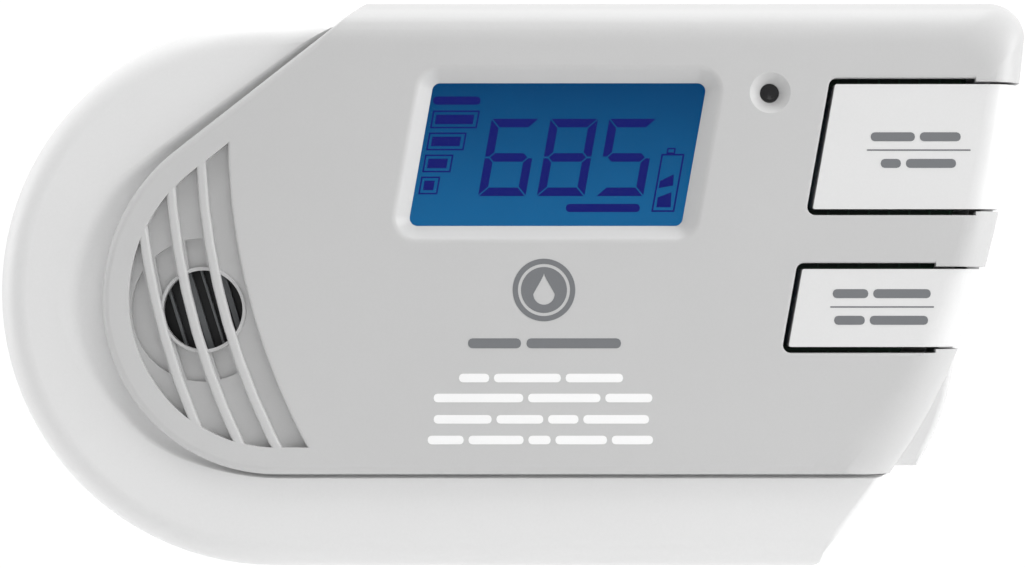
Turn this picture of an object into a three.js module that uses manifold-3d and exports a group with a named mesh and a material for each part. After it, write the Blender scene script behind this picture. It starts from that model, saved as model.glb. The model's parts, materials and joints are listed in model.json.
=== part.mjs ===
// Plug-in carbon monoxide and gas alarm: front cover with a sounder grille, a display window and two push
// buttons, rear housing with a battery door, and a plug base with two flat blades.
//
// Units are millimetres, +Z is up and the face looks along -Y. Every sub-part is modelled about the middle of
// the face, and the exported group then moves the whole alarm so that the origin lies on the wall face, midway
// between the two blades.

import * as THREE from "three";
import { mergeVertices } from "three/addons/utils/BufferGeometryUtils.js";
import Module from "manifold-3d";

const wasm = await Module();
wasm.setup();

// ---------------------------------------------------------------- driving dimensions

const FACE_Y = -44; // front of the cover
const WALL_Y = 0; // rear of the plug base, against the wall
const PLUG = { x: 36, z: 4 }; // middle of the two blades, seen from the front
const GAP = 0.3; // clearance between pieces that lie against each other
const SKIN = 2; // wall of the front cover
const SHELL = 2.2; // wall of the rear housing and the plug base

const COVER = {
  backY: -22, // rear edge of the cover's top and right walls
  skirtY: -38, // rear edge of the short skirt on its left and bottom sides
  top: 42.5,
  bottom: -28.65,
  edge: 0.6, // small rounding beside the rear housing's band
  round: 5, // large rounding along the top and right
};
const HOUSING = {
  frontY: -42,
  backY: -10,
  bottom: -42.8,
  arcX: -36.2,
  arcZ: -1.2,
  arcR: 41.6,
  round: 4.5,
};
const BASE = {
  frontY: -9.7,
  left: 2,
  right: 72.5,
  top: 36,
  bottom: -29.5,
  wall: 1.5,
  plate: 2,
};
const OPENING = { left: 13.5, right: 63, bottom: -15, top: 27 }; // way from the plug base into the housing
const SLANT = 3.8 / 21.3; // lean of the window and the buttons, across per height

const WINDOW = { left: -15.7, right: 25.3, bottom: 8.85, top: 30.15, corner: 1.1, bevel: 2.2 };
const BUTTONS = {
  test: { left: 43.95, bottom: 10.35, top: 30.9, switchX: 58, switchZ: 20 },
  peak: { left: 40.3, bottom: -10.35, top: 3.15, switchX: 52, switchZ: -3.6 },
};
const BUTTON = { gap: 0.9, frontY: -43.7, skirtY: -35.3, wall: 1.6, travel: 0.8, corner: 1.2, postR: 1.6 };

const GRILLE = {
  x: 56.85, // common centre of the curved slots
  z: 22.8,
  firstR: 99.75,
  pitch: 4.8,
  slot: 3.35,
  count: 4,
  inset: 4.1, // from the cover's outline
  floorY: -42.4,
  padY: -40.9,
};
const HORN = { x: -46.65, z: -3.9, holeR: 5.95, r: 12.2 };
const LED = { x: 38.6, z: 28.7, sinkR: 3.05, holeR: 1.45 };

const BOARD = { backY: -31.4, frontY: -33 };
const POWER_BOARD = { backY: -4.6, frontY: -6.2, left: 12.5, right: 63.5, bottom: -16, top: 27.5 };
const LCD = { left: -19.5, right: 33, bottom: 5.5, top: 33.5, frontY: -40.2, glass: 2.8 };

const BATTERY = { x: -17, width: 26.5, length: 46.4, depth: 17.5, bottom: -33.5, backY: -12 };
const TRAY = { halfWidth: 14.9, bottom: -35.5, top: 25, wall: 1.2, backY: -13.6, frontY: -30.9 };
const DOOR = {
  halfWidth: 14.5,
  bottom: -33.9,
  thick: 1.8,
  axisY: -11.6,
  axisZ: 22.4,
  barrelR: 1.6,
  pinR: 0.8,
};

const BLADE = { length: 17.5, thick: 1.52, spacing: 12.7, hotHeight: 6.35, neutralHeight: 7.92, rearY: -7 };

const HOUSING_SCREWS = [
  [-27, 31],
  [-38, -24.5],
  [40, -22],
  [66, 35],
];
const HOUSING_SCREW = { headY: -22, tipY: -38.5, headR: 2.8, shankR: 1.3, postR: 4.4, coverPostR: 2.8 };
const PLATE_SCREWS = [
  [8.5, 30],
  [66, 30],
  [8.5, -23],
  [61.5, -23],
];
const BOARD_SCREWS = [
  [16, 23.5],
  [59.5, -12.5],
];

// ---------------------------------------------------------------- materials

const finish = (color, roughness, metalness = 0, extra = {}) =>
  new THREE.MeshStandardMaterial({ color, roughness, metalness, ...extra });

const MATERIAL = {
  coverPlastic: finish(0xc9c9c8, 0.42),
  whitePlastic: finish(0xe6e6e5, 0.42),
  buttonPlastic: finish(0xe4e4e4, 0.38),
  blackPlastic: finish(0x17181a, 0.45),
  greyRubber: finish(0x8a8c8f, 0.8),
  clearPlastic: finish(0xf3f6f8, 0.08, 0, { transparent: true, opacity: 0.3 }),
  displayGlass: finish(0x14598f, 0.12),
  backlight: finish(0x2f84c4, 0.35),
  boardGreen: finish(0x1f5a34, 0.5),
  brass: finish(0xc2a35a, 0.3, 1),
  steel: finish(0xb4b7ba, 0.32, 1),
  plating: finish(0xd0c9b4, 0.3, 1),
  coreSteel: finish(0x54565a, 0.5, 0.7),
  tape: finish(0xd2b53c, 0.5),
  filmYellow: finish(0xc9a227, 0.45),
  varistorBlue: finish(0x2a5c9e, 0.5),
  sleeveBlack: finish(0x202226, 0.4),
  redWire: finish(0xb3211c, 0.5),
  blackWire: finish(0x1a1a1c, 0.5),
  batteryJacket: finish(0x2e3135, 0.35, 0.3),
  label: finish(0xd9dadb, 0.55),
};

// ---------------------------------------------------------------- solids

// A geometry as a manifold-3d solid.
function solid(geometry) {
  const positions = new THREE.BufferGeometry();
  const source = geometry.index ? geometry.toNonIndexed() : geometry;
  positions.setAttribute("position", source.getAttribute("position"));
  const merged = mergeVertices(positions, 1e-4);
  const corners = [];
  for (let i = 0; i < merged.index.count; i += 3) {
    const [a, b, c] = [0, 1, 2].map((k) => merged.index.getX(i + k));
    if (a !== b && b !== c && a !== c) corners.push(a, b, c);
  }
  return new wasm.Manifold(
    new wasm.Mesh({
      numProp: 3,
      vertProperties: new Float32Array(merged.attributes.position.array),
      triVerts: new Uint32Array(corners),
    }),
  );
}

// A manifold-3d solid as a geometry.
function geometryOf(made) {
  const mesh = made.getMesh();
  const positions = new Float32Array(mesh.numVert * 3);
  for (let i = 0; i < mesh.numVert; i++) {
    positions.set(mesh.vertProperties.subarray(i * mesh.numProp, i * mesh.numProp + 3), i * 3);
  }
  const geometry = new THREE.BufferGeometry();
  geometry.setAttribute("position", new THREE.BufferAttribute(positions, 3));
  geometry.setIndex(new THREE.BufferAttribute(new Uint32Array(mesh.triVerts), 1));
  geometry.computeVertexNormals();
  return geometry;
}

const joined = (first, ...others) => others.reduce((whole, next) => whole.add(next), first);
const cut = (first, ...tools) => tools.reduce((whole, next) => whole.subtract(next), first);

// A solid through a stack of outlines with equally many points, listed from the rear to the front. Each layer
// is { points, y }, and its points run counter-clockwise as seen from the front.
function stacked(layers) {
  const count = layers[0].points.length;
  const corners = [];
  const put = (layer, ...indices) => {
    for (const i of indices) corners.push(layer.points[i % count].x, layer.y, layer.points[i % count].y);
  };
  layers.slice(1).forEach((front, k) => {
    for (let i = 0; i < count; i++) {
      put(layers[k], i, i + 1);
      put(front, i + 1);
      put(layers[k], i);
      put(front, i + 1, i);
    }
  });
  for (const [layer, facesFront] of [[layers[0], false], [layers.at(-1), true]]) {
    for (const [i, j, k] of THREE.ShapeUtils.triangulateShape(layer.points, [])) {
      const area = THREE.ShapeUtils.area([i, j, k].map((n) => layer.points[n]));
      put(layer, ...(area > 0 === facesFront ? [i, j, k] : [i, k, j]));
    }
  }
  const geometry = new THREE.BufferGeometry();
  geometry.setAttribute("position", new THREE.BufferAttribute(new Float32Array(corners), 3));
  return solid(geometry);
}

// An outline in the face plane, drawn as (across, up), made solid between two depths.
function slab(outline, backY, frontY, divisions = 8) {
  const points = pointsOf(outline, divisions);
  return stacked([{ points, y: backY }, { points, y: frontY }]);
}

// The same, with its front edge rounded to a quarter circle.
function roundedSlab(outline, backY, frontY, round, segments = 4, divisions = 8) {
  const layers = [{ points: moved(outline, 0, divisions), y: backY }];
  for (let i = 0; i <= segments; i++) {
    const turn = (i / segments) * (Math.PI / 2);
    const inset = round * (1 - Math.cos(turn));
    layers.push({ points: moved(outline, -inset, divisions), y: frontY + round * (1 - Math.sin(turn)) });
  }
  return stacked(layers);
}

// A cutting tool for a bevelled edge: `width` wider than the outline at the face, and closing to it `depth` deep.
function bevelTool(outline, depth, width) {
  return stacked([
    { points: moved(outline, 0, 4), y: FACE_Y + depth },
    { points: moved(outline, width, 4), y: FACE_Y },
    { points: moved(outline, width, 4), y: FACE_Y - 1 },
  ]);
}

function box(x0, x1, y0, y1, z0, z1) {
  const geometry = new THREE.BoxGeometry(x1 - x0, y1 - y0, z1 - z0);
  return solid(geometry.translate((x0 + x1) / 2, (y0 + y1) / 2, (z0 + z1) / 2));
}

// A round bar along Y, from the rear depth to the front one.
function rod(x, z, radius, backY, frontY, sides = 20, frontRadius = radius) {
  const geometry = new THREE.CylinderGeometry(radius, frontRadius, backY - frontY, sides);
  return solid(geometry.translate(x, (backY + frontY) / 2, z));
}

// A round bar along X.
function rodX(x0, x1, y, z, radius, sides = 16) {
  const geometry = new THREE.CylinderGeometry(radius, radius, x1 - x0, sides).rotateZ(Math.PI / 2);
  return solid(geometry.translate((x0 + x1) / 2, y, z));
}

// A piece turned about a line along Y, from [radius, depth] points listed from the front to the rear.
function turned(x, z, profile, sides = 28) {
  const points = profile.map(([radius, y]) => new THREE.Vector2(radius, y));
  return solid(new THREE.LatheGeometry(points, sides).translate(x, 0, z));
}

// ---------------------------------------------------------------- outlines

function rectangle(left, bottom, right, top) {
  const outline = new THREE.Shape();
  outline.moveTo(left, bottom).lineTo(right, bottom).lineTo(right, top).lineTo(left, top).closePath();
  return outline;
}

// A rectangle that leans to the right, with round corners. Its left and right are those of its bottom edge.
function leaning({ left, right, bottom, top, corner }, grow = 0) {
  const lean = SLANT * (top - bottom);
  const low = bottom - grow;
  const high = top + grow;
  const shift = SLANT * grow;
  const corners = [
    [left - grow - shift, low],
    [right + grow - shift, low],
    [right + grow + lean + shift, high],
    [left - grow + lean + shift, high],
  ];
  return roundedPolygon(corners, corner + grow / 2);
}

// A polygon whose corners are eased by quadratic curves that start `radius` from each corner.
function roundedPolygon(corners, radius) {
  const outline = new THREE.Shape();
  const towards = ([ax, az], [bx, bz]) => {
    const share = radius / Math.hypot(bx - ax, bz - az);
    return [ax + (bx - ax) * share, az + (bz - az) * share];
  };
  corners.forEach((corner, i) => {
    const before = towards(corner, corners.at(i - 1));
    const after = towards(corner, corners[(i + 1) % corners.length]);
    if (i === 0) outline.moveTo(...before);
    else outline.lineTo(...before);
    outline.quadraticCurveTo(...corner, ...after);
  });
  return outline.closePath();
}

// An outline's points, counter-clockwise, without repeats and without points in the middle of a straight line.
function pointsOf(outline, divisions = 8) {
  const apart = outline.getPoints(divisions).filter((p, i, all) => p.distanceTo(all.at(i - 1)) > 1e-3);
  const turns = (p, i, all) => {
    const before = p.clone().sub(all.at(i - 1)).normalize();
    const after = all[(i + 1) % all.length].clone().sub(p).normalize();
    return Math.abs(before.cross(after)) > 1e-5;
  };
  const points = apart.filter(turns);
  return THREE.ShapeUtils.isClockWise(points) ? points.reverse() : points;
}

// An outline's points moved outwards by `distance`, or inwards where that is negative.
function moved(outline, distance, divisions = 8) {
  const points = pointsOf(outline, divisions);
  const normal = (a, b) => new THREE.Vector2(b.y - a.y, a.x - b.x).normalize();
  return points.map((p, i) => {
    const first = normal(points.at(i - 1), p);
    const second = normal(p, points[(i + 1) % points.length]);
    const middle = first.clone().add(second).normalize();
    return p.clone().addScaledVector(middle, distance / middle.dot(first));
  });
}

// How far a point lies from the nearest of an outline's sides.
function clearance(point, points) {
  const sides = points.map((start, i) => {
    const side = points[(i + 1) % points.length].clone().sub(start);
    const along = point.clone().sub(start).dot(side) / side.lengthSq();
    return start.clone().addScaledVector(side, Math.min(1, Math.max(0, along))).distanceTo(point);
  });
  return Math.min(...sides);
}

// The moved outline as a shape, without the loops that a tight corner folds into.
function grown(outline, distance, divisions = 8) {
  const points = pointsOf(outline, divisions);
  const far = moved(outline, distance, divisions).filter(
    (point) => clearance(point, points) > Math.abs(distance) - 1e-3,
  );
  return new THREE.Shape(far);
}

// The front cover seen from the front, counter-clockwise from its lower right corner.
function coverOutline() {
  const diagonal = (128 * Math.PI) / 180; // direction that the upper left edge faces
  const outline = new THREE.Shape();
  outline.moveTo(57.2, COVER.bottom);
  outline.bezierCurveTo(70.7, -10.5, 75.3, 13.7, 77.6, 36.3);
  outline.quadraticCurveTo(78, COVER.top, 72.4, COVER.top);
  outline.lineTo(-22.6, COVER.top);
  outline.absarc(-33.3, -2.4, 28.5, diagonal, Math.PI, false);
  outline.absarc(-35.55, -2.4, 26.25, Math.PI, 1.5 * Math.PI, false);
  return outline.closePath();
}

// The cover's right edge alone, run out far the other ways.
function coverRight() {
  const outline = new THREE.Shape();
  outline.moveTo(18, -70);
  outline.lineTo(57.2, COVER.bottom);
  outline.bezierCurveTo(70.7, -10.5, 75.3, 13.7, 77.6, 36.3);
  outline.lineTo(80.5, 70);
  outline.lineTo(-120, 70);
  outline.lineTo(-120, -70);
  return outline.closePath();
}

// The rear housing's round left end and its bottom and top edges, run out far to the right.
function housingLeft() {
  const { arcX, arcZ, arcR } = HOUSING;
  const outline = new THREE.Shape();
  outline.moveTo(120, arcZ - arcR);
  outline.lineTo(120, arcZ + arcR);
  outline.absarc(arcX, arcZ, arcR, Math.PI / 2, 1.5 * Math.PI, false);
  return outline.closePath();
}

// The rear housing's curved right edge, run out far the other ways.
function housingRight() {
  const outline = new THREE.Shape();
  outline.moveTo(-120, -80);
  outline.lineTo(17, -80);
  outline.lineTo(46.3, -42.9);
  outline.bezierCurveTo(65.5, -20.5, 74.6, 6, 76.4, 37);
  outline.lineTo(77, 80);
  outline.lineTo(-120, 80);
  return outline.closePath();
}

// The plug base seen from the front.
function baseOutline() {
  const { left, right, top, bottom } = BASE;
  const outline = new THREE.Shape();
  outline.moveTo(left + 5, bottom);
  outline.lineTo(65.6, bottom);
  outline.quadraticCurveTo(72, -20, right, -4);
  outline.lineTo(right, top - 6);
  outline.quadraticCurveTo(right, top, right - 6, top);
  outline.lineTo(left + 5, top);
  outline.quadraticCurveTo(left, top, left, top - 5);
  outline.lineTo(left, bottom + 5);
  outline.quadraticCurveTo(left, bottom, left + 5, bottom);
  return outline.closePath();
}

// A push button, or its opening, seen from the front: leaning on the left, run out far past the right edge.
function buttonOutline({ left, bottom, top }, shrink, right = 100, corner = BUTTON.corner) {
  const low = bottom + shrink;
  const high = top - shrink;
  const foot = left + shrink * (1 + SLANT);
  const head = foot + SLANT * (high - low);
  return roundedPolygon(
    [
      [foot, low],
      [right, low],
      [right, high],
      [head, high],
    ],
    corner,
  );
}

// ---------------------------------------------------------------- front cover

// The cover's outer form, solid, shrunk by `shrink` along its top and right edges.
function coverForm(shrink = 0) {
  const upper = rectangle(-120, -70, 120, COVER.top - shrink);
  const right = grown(coverRight(), -shrink, 8);
  return roundedSlab(upper, COVER.backY, FACE_Y + shrink, COVER.round, 5)
    .intersect(roundedSlab(right, COVER.backY, FACE_Y + shrink, COVER.round, 5));
}

function grilleSlots() {
  const field = slab(grown(coverOutline(), -GRILLE.inset, 10), GRILLE.floorY, FACE_Y - 1);
  const [from, to] = [176, 214].map((degrees) => (degrees * Math.PI) / 180);
  return Array.from({ length: GRILLE.count }, (_, i) => {
    const inner = GRILLE.firstR + i * GRILLE.pitch;
    const outer = i < GRILLE.count - 1 ? inner + GRILLE.slot : inner + 12;
    const band = new THREE.Shape();
    band.absarc(GRILLE.x, GRILLE.z, outer, from, to, false);
    band.absarc(GRILLE.x, GRILLE.z, inner, to, from, true);
    return slab(band.closePath(), GRILLE.floorY, FACE_Y - 1, 10).intersect(field);
  });
}

function frontCover() {
  const outline = coverOutline();
  const rim = roundedSlab(outline, COVER.backY, FACE_Y, COVER.edge, 2, 10);
  const hollow = slab(grown(outline, -SKIN, 10), COVER.backY + 1, FACE_Y + SKIN);
  const pad = slab(grown(outline, -SKIN, 10), GRILLE.padY, FACE_Y + SKIN - 0.1)
    .intersect(box(-80, -26, -60, 0, -60, 60));
  const posts = HOUSING_SCREWS.map(([x, z]) =>
    rod(x, z, HOUSING_SCREW.coverPostR, BOARD.frontY - GAP, FACE_Y + SKIN - 0.1, 16));
  const holes = HOUSING_SCREWS.map(([x, z]) =>
    rod(x, z, HOUSING_SCREW.shankR + 0.05, BOARD.frontY, HOUSING_SCREW.tipY - 0.6, 12));
  const shortSkirt = slab(
    roundedPolygon([[-80, -50], [46, -50], [53, -25], [66.5, 5], [71, 37.5], [-80, 37.5]], 1),
    COVER.backY + 1, COVER.skirtY);
  const opening = slab(leaning(WINDOW), FACE_Y + SKIN + 1, FACE_Y - 1, 4);
  const bevel = bevelTool(leaning(WINDOW), 1.5, WINDOW.bevel);
  const buttonHoles = Object.values(BUTTONS).map((b) =>
    slab(buttonOutline(b, 0), BUTTON.skirtY + BUTTON.travel + 0.5, FACE_Y - 1, 4));
  const led = [
    rod(LED.x, LED.z, LED.holeR, FACE_Y + SKIN + 1, FACE_Y - 1, 20),
    rod(LED.x, LED.z, LED.holeR + 0.1, FACE_Y + 1.5, FACE_Y, 24, LED.sinkR),
  ];
  const hornHole = rod(HORN.x, HORN.z, HORN.holeR, GRILLE.padY + 1, GRILLE.floorY, 36);
  const shell = cut(rim.intersect(coverForm()), hollow, shortSkirt);
  return cut(joined(shell, pad, ...posts), opening, bevel, ...buttonHoles, ...led, hornHole,
    ...grilleSlots(), ...holes);
}

// ---------------------------------------------------------------- push buttons

function pushButton(button) {
  const { gap, frontY, skirtY, wall, postR } = BUTTON;
  const cap = slab(buttonOutline(button, gap), skirtY, frontY, 4).intersect(coverForm(0.25));
  const hollow = slab(buttonOutline(button, gap + wall, 100, 0.6), skirtY + 1, frontY + wall + 0.2, 2)
    .intersect(coverForm(0.25 + wall));
  const flange = cut(
    slab(buttonOutline(button, -0.7, button.left + 17), FACE_Y + SKIN + GAP + 1, FACE_Y + SKIN + GAP, 4),
    slab(buttonOutline(button, gap + wall, 100, 0.6), 0, -60, 2),
  );
  const post = rod(button.switchX, button.switchZ, postR, -38.5, frontY + 1, 14);
  return joined(cut(cap, hollow), flange, post);
}

// ---------------------------------------------------------------- rear housing

function housingForm(shrink = 0, backY = HOUSING.backY, frontY = HOUSING.frontY) {
  const round = HOUSING.round - shrink;
  const left = roundedSlab(grown(housingLeft(), -shrink, 20), backY, frontY, round, 5);
  const right = roundedSlab(grown(housingRight(), -shrink, 8), backY, frontY, round, 5);
  return left.intersect(right);
}

function rearHousing() {
  const { backY, frontY, bottom } = HOUSING;
  const inner = housingForm(SHELL, backY - SHELL, frontY + SHELL);
  const seat = slab(grown(coverOutline(), 0.35, 10), COVER.backY + GAP, FACE_Y - 1);
  const posts = HOUSING_SCREWS.map(([x, z]) =>
    rod(x, z, HOUSING_SCREW.postR, backY - SHELL + 0.1, BOARD.backY + GAP, 18));
  const sinks = HOUSING_SCREWS.flatMap(([x, z]) => [
    rod(x, z, HOUSING_SCREW.headR + 0.4, backY + 1, HOUSING_SCREW.headY, 18),
    rod(x, z, HOUSING_SCREW.shankR + 0.3, backY, BOARD.frontY, 12),
  ]);
  const power = slab(
    roundedPolygon([[OPENING.left, OPENING.bottom], [OPENING.right, OPENING.bottom],
      [OPENING.right, OPENING.top], [OPENING.left, OPENING.top]], 2),
    backY + 1, backY - SHELL - 1, 3);
  const { halfWidth, axisY, axisZ, barrelR, pinR } = DOOR;
  const doorway = box(BATTERY.x - halfWidth - GAP, BATTERY.x + halfWidth + GAP, backY - SHELL - 1, backY + 1,
    DOOR.bottom - GAP, axisZ + barrelR + GAP);
  const lugs = [-1, 1].map((side) => {
    const inside = BATTERY.x + side * (halfWidth + GAP);
    const outside = inside + side * 3;
    return box(Math.min(inside, outside), Math.max(inside, outside), -13.4, backY - SHELL + 0.1,
      axisZ - 2, axisZ + 2);
  });
  const pinHoles = rodX(BATTERY.x - halfWidth - 2.3, BATTERY.x + halfWidth + 2.3, axisY, axisZ, pinR + 0.35);
  const scoop = rod(BATTERY.x, DOOR.bottom - GAP, 5, backY + 1, backY - 1, 24);
  const vents = Array.from({ length: 9 }, (_, i) => {
    const x = -14 + i * 4.5;
    return box(x - 1, x + 1, -30, -17, bottom - 1, bottom + SHELL + 1);
  });
  const shell = cut(housingForm(), inner, seat);
  return cut(joined(shell, ...posts, ...lugs), ...sinks, power, doorway, pinHoles, scoop, ...vents);
}

function batteryDoor() {
  const { halfWidth, bottom, thick, axisY, axisZ, barrelR, pinR } = DOOR;
  const { backY } = HOUSING;
  const [left, right] = [BATTERY.x - halfWidth, BATTERY.x + halfWidth];
  const plate = box(left, right, backY - thick, backY, bottom, axisZ);
  const barrel = rodX(left, right, axisY, axisZ, barrelR, 24);
  const pins = rodX(left - 1.9, right + 1.9, axisY, axisZ, pinR, 12);
  const grips = Array.from({ length: 4 }, (_, i) =>
    box(BATTERY.x - 6, BATTERY.x + 6, backY - 0.5, backY + 1, bottom + 3 + i * 2.2, bottom + 4 + i * 2.2));
  return cut(joined(plate, barrel, pins), ...grips);
}

function batteryTray() {
  const { halfWidth, bottom, top, wall, backY, frontY } = TRAY;
  const [left, right] = [BATTERY.x - halfWidth, BATTERY.x + halfWidth];
  const outer = box(left, right, frontY, backY, bottom, top);
  const inner = box(left + wall, right - wall, frontY + wall, backY + 1, bottom + wall, top - wall);
  const wireNotch = box(BATTERY.x - 4, BATTERY.x + 4, -27.5, -21, top - wall - 1, top + 1);
  return cut(outer, inner, wireNotch);
}

// ---------------------------------------------------------------- plug base

function plugBase() {
  const { frontY, bottom, wall } = BASE;
  const outline = baseOutline();
  const form = roundedSlab(outline, WALL_Y, frontY, 1.4, 3, 6)
    .intersect(roundedSlab(outline, WALL_Y, frontY, 1.2, 2, 6).mirror([0, 1, 0]).translate([0, frontY, 0]));
  const hollow = slab(grown(outline, -SHELL, 6), WALL_Y + 1, frontY + wall);
  const opening = slab(rectangle(OPENING.left, OPENING.bottom, OPENING.right, OPENING.top), 0, frontY - 1);
  const posts = PLATE_SCREWS.map(([x, z]) => rod(x, z, 3, -BASE.plate - GAP, frontY + wall - 0.1, 16));
  const holes = PLATE_SCREWS.map(([x, z]) => rod(x, z, 1.25, 0, frontY + 0.8, 10));
  return cut(joined(cut(form, hollow, opening), ...posts), ...holes);
}

function backPlate() {
  const plate = slab(grown(baseOutline(), -SHELL - GAP, 6), WALL_Y, -BASE.plate);
  const slots = [-1, 1].map((side) => {
    const x = PLUG.x + (side * BLADE.spacing) / 2;
    const half = (side < 0 ? BLADE.neutralHeight : BLADE.hotHeight) / 2 + 0.15;
    const thick = BLADE.thick / 2 + 0.15;
    return box(x - thick, x + thick, -5, 1, PLUG.z - half, PLUG.z + half);
  });
  const sinks = PLATE_SCREWS.flatMap(([x, z]) => [
    rod(x, z, 1.6, 1, -5, 12),
    rod(x, z, 2.9, 0.01, -1.5, 20, 1.6),
  ]);
  const standoffs = BOARD_SCREWS.map(([x, z]) =>
    rod(x, z, 2.6, -BASE.plate + 0.1, POWER_BOARD.backY + 0.2, 14),
  );
  const tapped = BOARD_SCREWS.map(([x, z]) => rod(x, z, 1.05, -1.4, -6, 10));
  return cut(joined(plate, ...standoffs), ...slots, ...sinks, ...tapped);
}

// A flat blade with a chamfered tip and a round hole, standing out of the back plate.
function blade(height) {
  const { length, thick, rearY } = BLADE;
  const half = height / 2;
  const outline = new THREE.Shape();
  outline.moveTo(rearY, -half).lineTo(length - 1.6, -half).lineTo(length, -half + 1.4);
  outline.lineTo(length, half - 1.4).lineTo(length - 1.6, half).lineTo(rearY, half).closePath();
  const hole = new THREE.Path();
  hole.absarc(11.8, 0, 1.55, 0, 2 * Math.PI, true);
  outline.holes.push(hole);
  const options = { depth: thick, bevelEnabled: false, curveSegments: 8 };
  const geometry = new THREE.ExtrudeGeometry(outline, options);
  const upright = new THREE.Matrix4().makeBasis(
    new THREE.Vector3(0, 1, 0), new THREE.Vector3(0, 0, 1), new THREE.Vector3(1, 0, 0));
  return solid(geometry.applyMatrix4(upright).translate(-thick / 2, 0, 0));
}

// ---------------------------------------------------------------- screws

// A cross-recessed screw whose head faces the rear. Its head's underside is at y = 0.
function panScrew(headR, headH, shankR, length) {
  const body = turned(0, 0, [[0, -length], [shankR * 0.5, -length], [shankR, -length + shankR],
    [shankR, 0], [headR, 0], [headR, headH * 0.55], [headR * 0.72, headH], [0, headH]], 16);
  return cut(body, ...crossRecess(headR * 0.62, headH));
}

function flatScrew(headR, headH, shankR, length) {
  const body = turned(0, 0, [[0, -length], [shankR * 0.5, -length], [shankR, -length + shankR],
    [shankR, 0], [headR, headH], [0, headH]], 16);
  return cut(body, ...crossRecess(headR * 0.62, headH));
}

function crossRecess(reach, headH) {
  const [half, depth] = [0.32, headH * 0.55];
  return [
    box(-reach, reach, headH - depth, headH + 1, -half, half),
    box(-half, half, headH - depth, headH + 1, -reach, reach),
  ];
}

// ---------------------------------------------------------------- display

function windowLens() {
  return slab(leaning(WINDOW, 1.6), FACE_Y + SKIN + GAP + 1.1, FACE_Y + SKIN + GAP, 4);
}

function lcdFrame() {
  const { left, right, bottom, top, frontY } = LCD;
  const outer = box(left - 1.3, right + 1.3, frontY, BOARD.frontY - 0.2, bottom - 1.3, top + 1.3);
  return cut(outer, box(left - GAP / 3, right + GAP / 3, -60, 0, bottom - GAP / 3, top + GAP / 3));
}

function lcdGlass() {
  const { left, right, bottom, top, frontY, glass } = LCD;
  return box(left, right, frontY, frontY + glass, bottom, top);
}

function backlightPanel() {
  const rearOfGlass = LCD.frontY + LCD.glass;
  const { left, right, bottom, top } = LCD;
  return box(left + 0.5, right - 0.5, rearOfGlass + 0.1, rearOfGlass + 3.1, bottom + 3.2, top - 3.2);
}

function zebraStrip(z) {
  return box(LCD.left + 2, LCD.right - 2, LCD.frontY + LCD.glass + 0.05, BOARD.frontY - 0.05, z - 1, z + 1);
}

// ---------------------------------------------------------------- sounder, sensors and switches

function hornCap() {
  const { x, z, r } = HORN;
  return turned(x, z, [[3.4, -40.6], [r, -40.6], [r, -35.5], [r - 1.1, -35.5],
    [r - 1.1, -39.4], [3.4, -39.4],
    [3.4, -40.6]], 36);
}

const piezoDisc = () => rod(HORN.x, HORN.z, 10.6, -35.5, -35.9, 32);

function hornBase() {
  const { x, z, r } = HORN;
  return turned(x, z, [[8, -35.2], [r, -35.2], [r, -33.2], [8, -33.2], [8, -35.2]], 36);
}

function coSensorBody() {
  return turned(-52, 6, [[0, -31.1], [10, -31.1], [10, -19], [9.2, -18.2], [0, -18.2]], 28);
}

function coSensorCap() {
  return turned(-52, 6, [[0, -18], [8, -18], [8, -16.4], [7.4, -15.8], [2, -15.8],
    [2, -16.6], [0, -16.6]], 28);
}

const GAS_SENSOR = { x: -25, z: -19 };
const gasSensorBase = () => rod(GAS_SENSOR.x, GAS_SENSOR.z, 4.7, -33.2, -34.8, 24);

function gasSensorCan() {
  return turned(GAS_SENSOR.x, GAS_SENSOR.z, [[0, -39.9], [2.6, -39.9], [2.6, -40.3],
    [3.7, -40.3], [4.1, -39.9],
    [4.1, -35], [0, -35]], 24);
}

// A tactile switch, with a well that its plunger sinks into.
function switchBody({ switchX: x, switchZ: z }) {
  return cut(box(x - 3, x + 3, -36.7, BOARD.frontY - 0.1, z - 3, z + 3), rod(x, z, 2, -35.2, -37, 16));
}

const switchPlunger = ({ switchX: x, switchZ: z }) => rod(x, z, 1.7, -37, -38.3, 16);

function statusLed() {
  return turned(LED.x, LED.z, [[0, -36.2], [0.8, -36], [1.35, -35.5], [1.5, -34.9],
    [1.5, -33.8], [1.9, -33.8],
    [1.9, -33.1], [0, -33.1]], 20);
}

function lightPipe() {
  return turned(LED.x, LED.z, [[0, -42.9], [0.7, -42.8], [1.1, -42.5], [1.25, -42.1], [1.25, -41.6],
    [2.2, -41.6], [2.2, -40.8], [1.25, -40.8], [1.25, -36.6], [0, -36.6]], 20);
}

// ---------------------------------------------------------------- boards and what is on them

function mainBoard() {
  const { arcX, arcZ } = HOUSING;
  const radius = 36;
  const outline = new THREE.Shape();
  outline.moveTo(40, arcZ - radius).lineTo(50, -26).lineTo(61, -8).lineTo(68, 12).lineTo(70, arcZ + radius);
  outline.absarc(arcX, arcZ, radius, Math.PI / 2, 1.5 * Math.PI, false);
  const board = slab(outline.closePath(), BOARD.backY, BOARD.frontY, 14);
  return cut(board, ...HOUSING_SCREWS.map(([x, z]) => rod(x, z, 1.9, -20, -45, 16)));
}

function powerBoard() {
  const { left, right, bottom, top, backY, frontY } = POWER_BOARD;
  const board = box(left, right, frontY, backY, bottom, top);
  const slots = [-1, 1].map((side) => {
    const x = PLUG.x + (side * BLADE.spacing) / 2;
    return box(x - 1.1, x + 1.1, -20, 0, PLUG.z - 4.4, PLUG.z + 4.4);
  });
  return cut(board, ...slots, ...BOARD_SCREWS.map(([x, z]) => rod(x, z, 1.3, 0, -20, 12)));
}

const TRANSFORMER = { x0: 15.5, x1: 28.5, y0: -27, y1: -6.5, z0: -3, z1: 21 };

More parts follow.
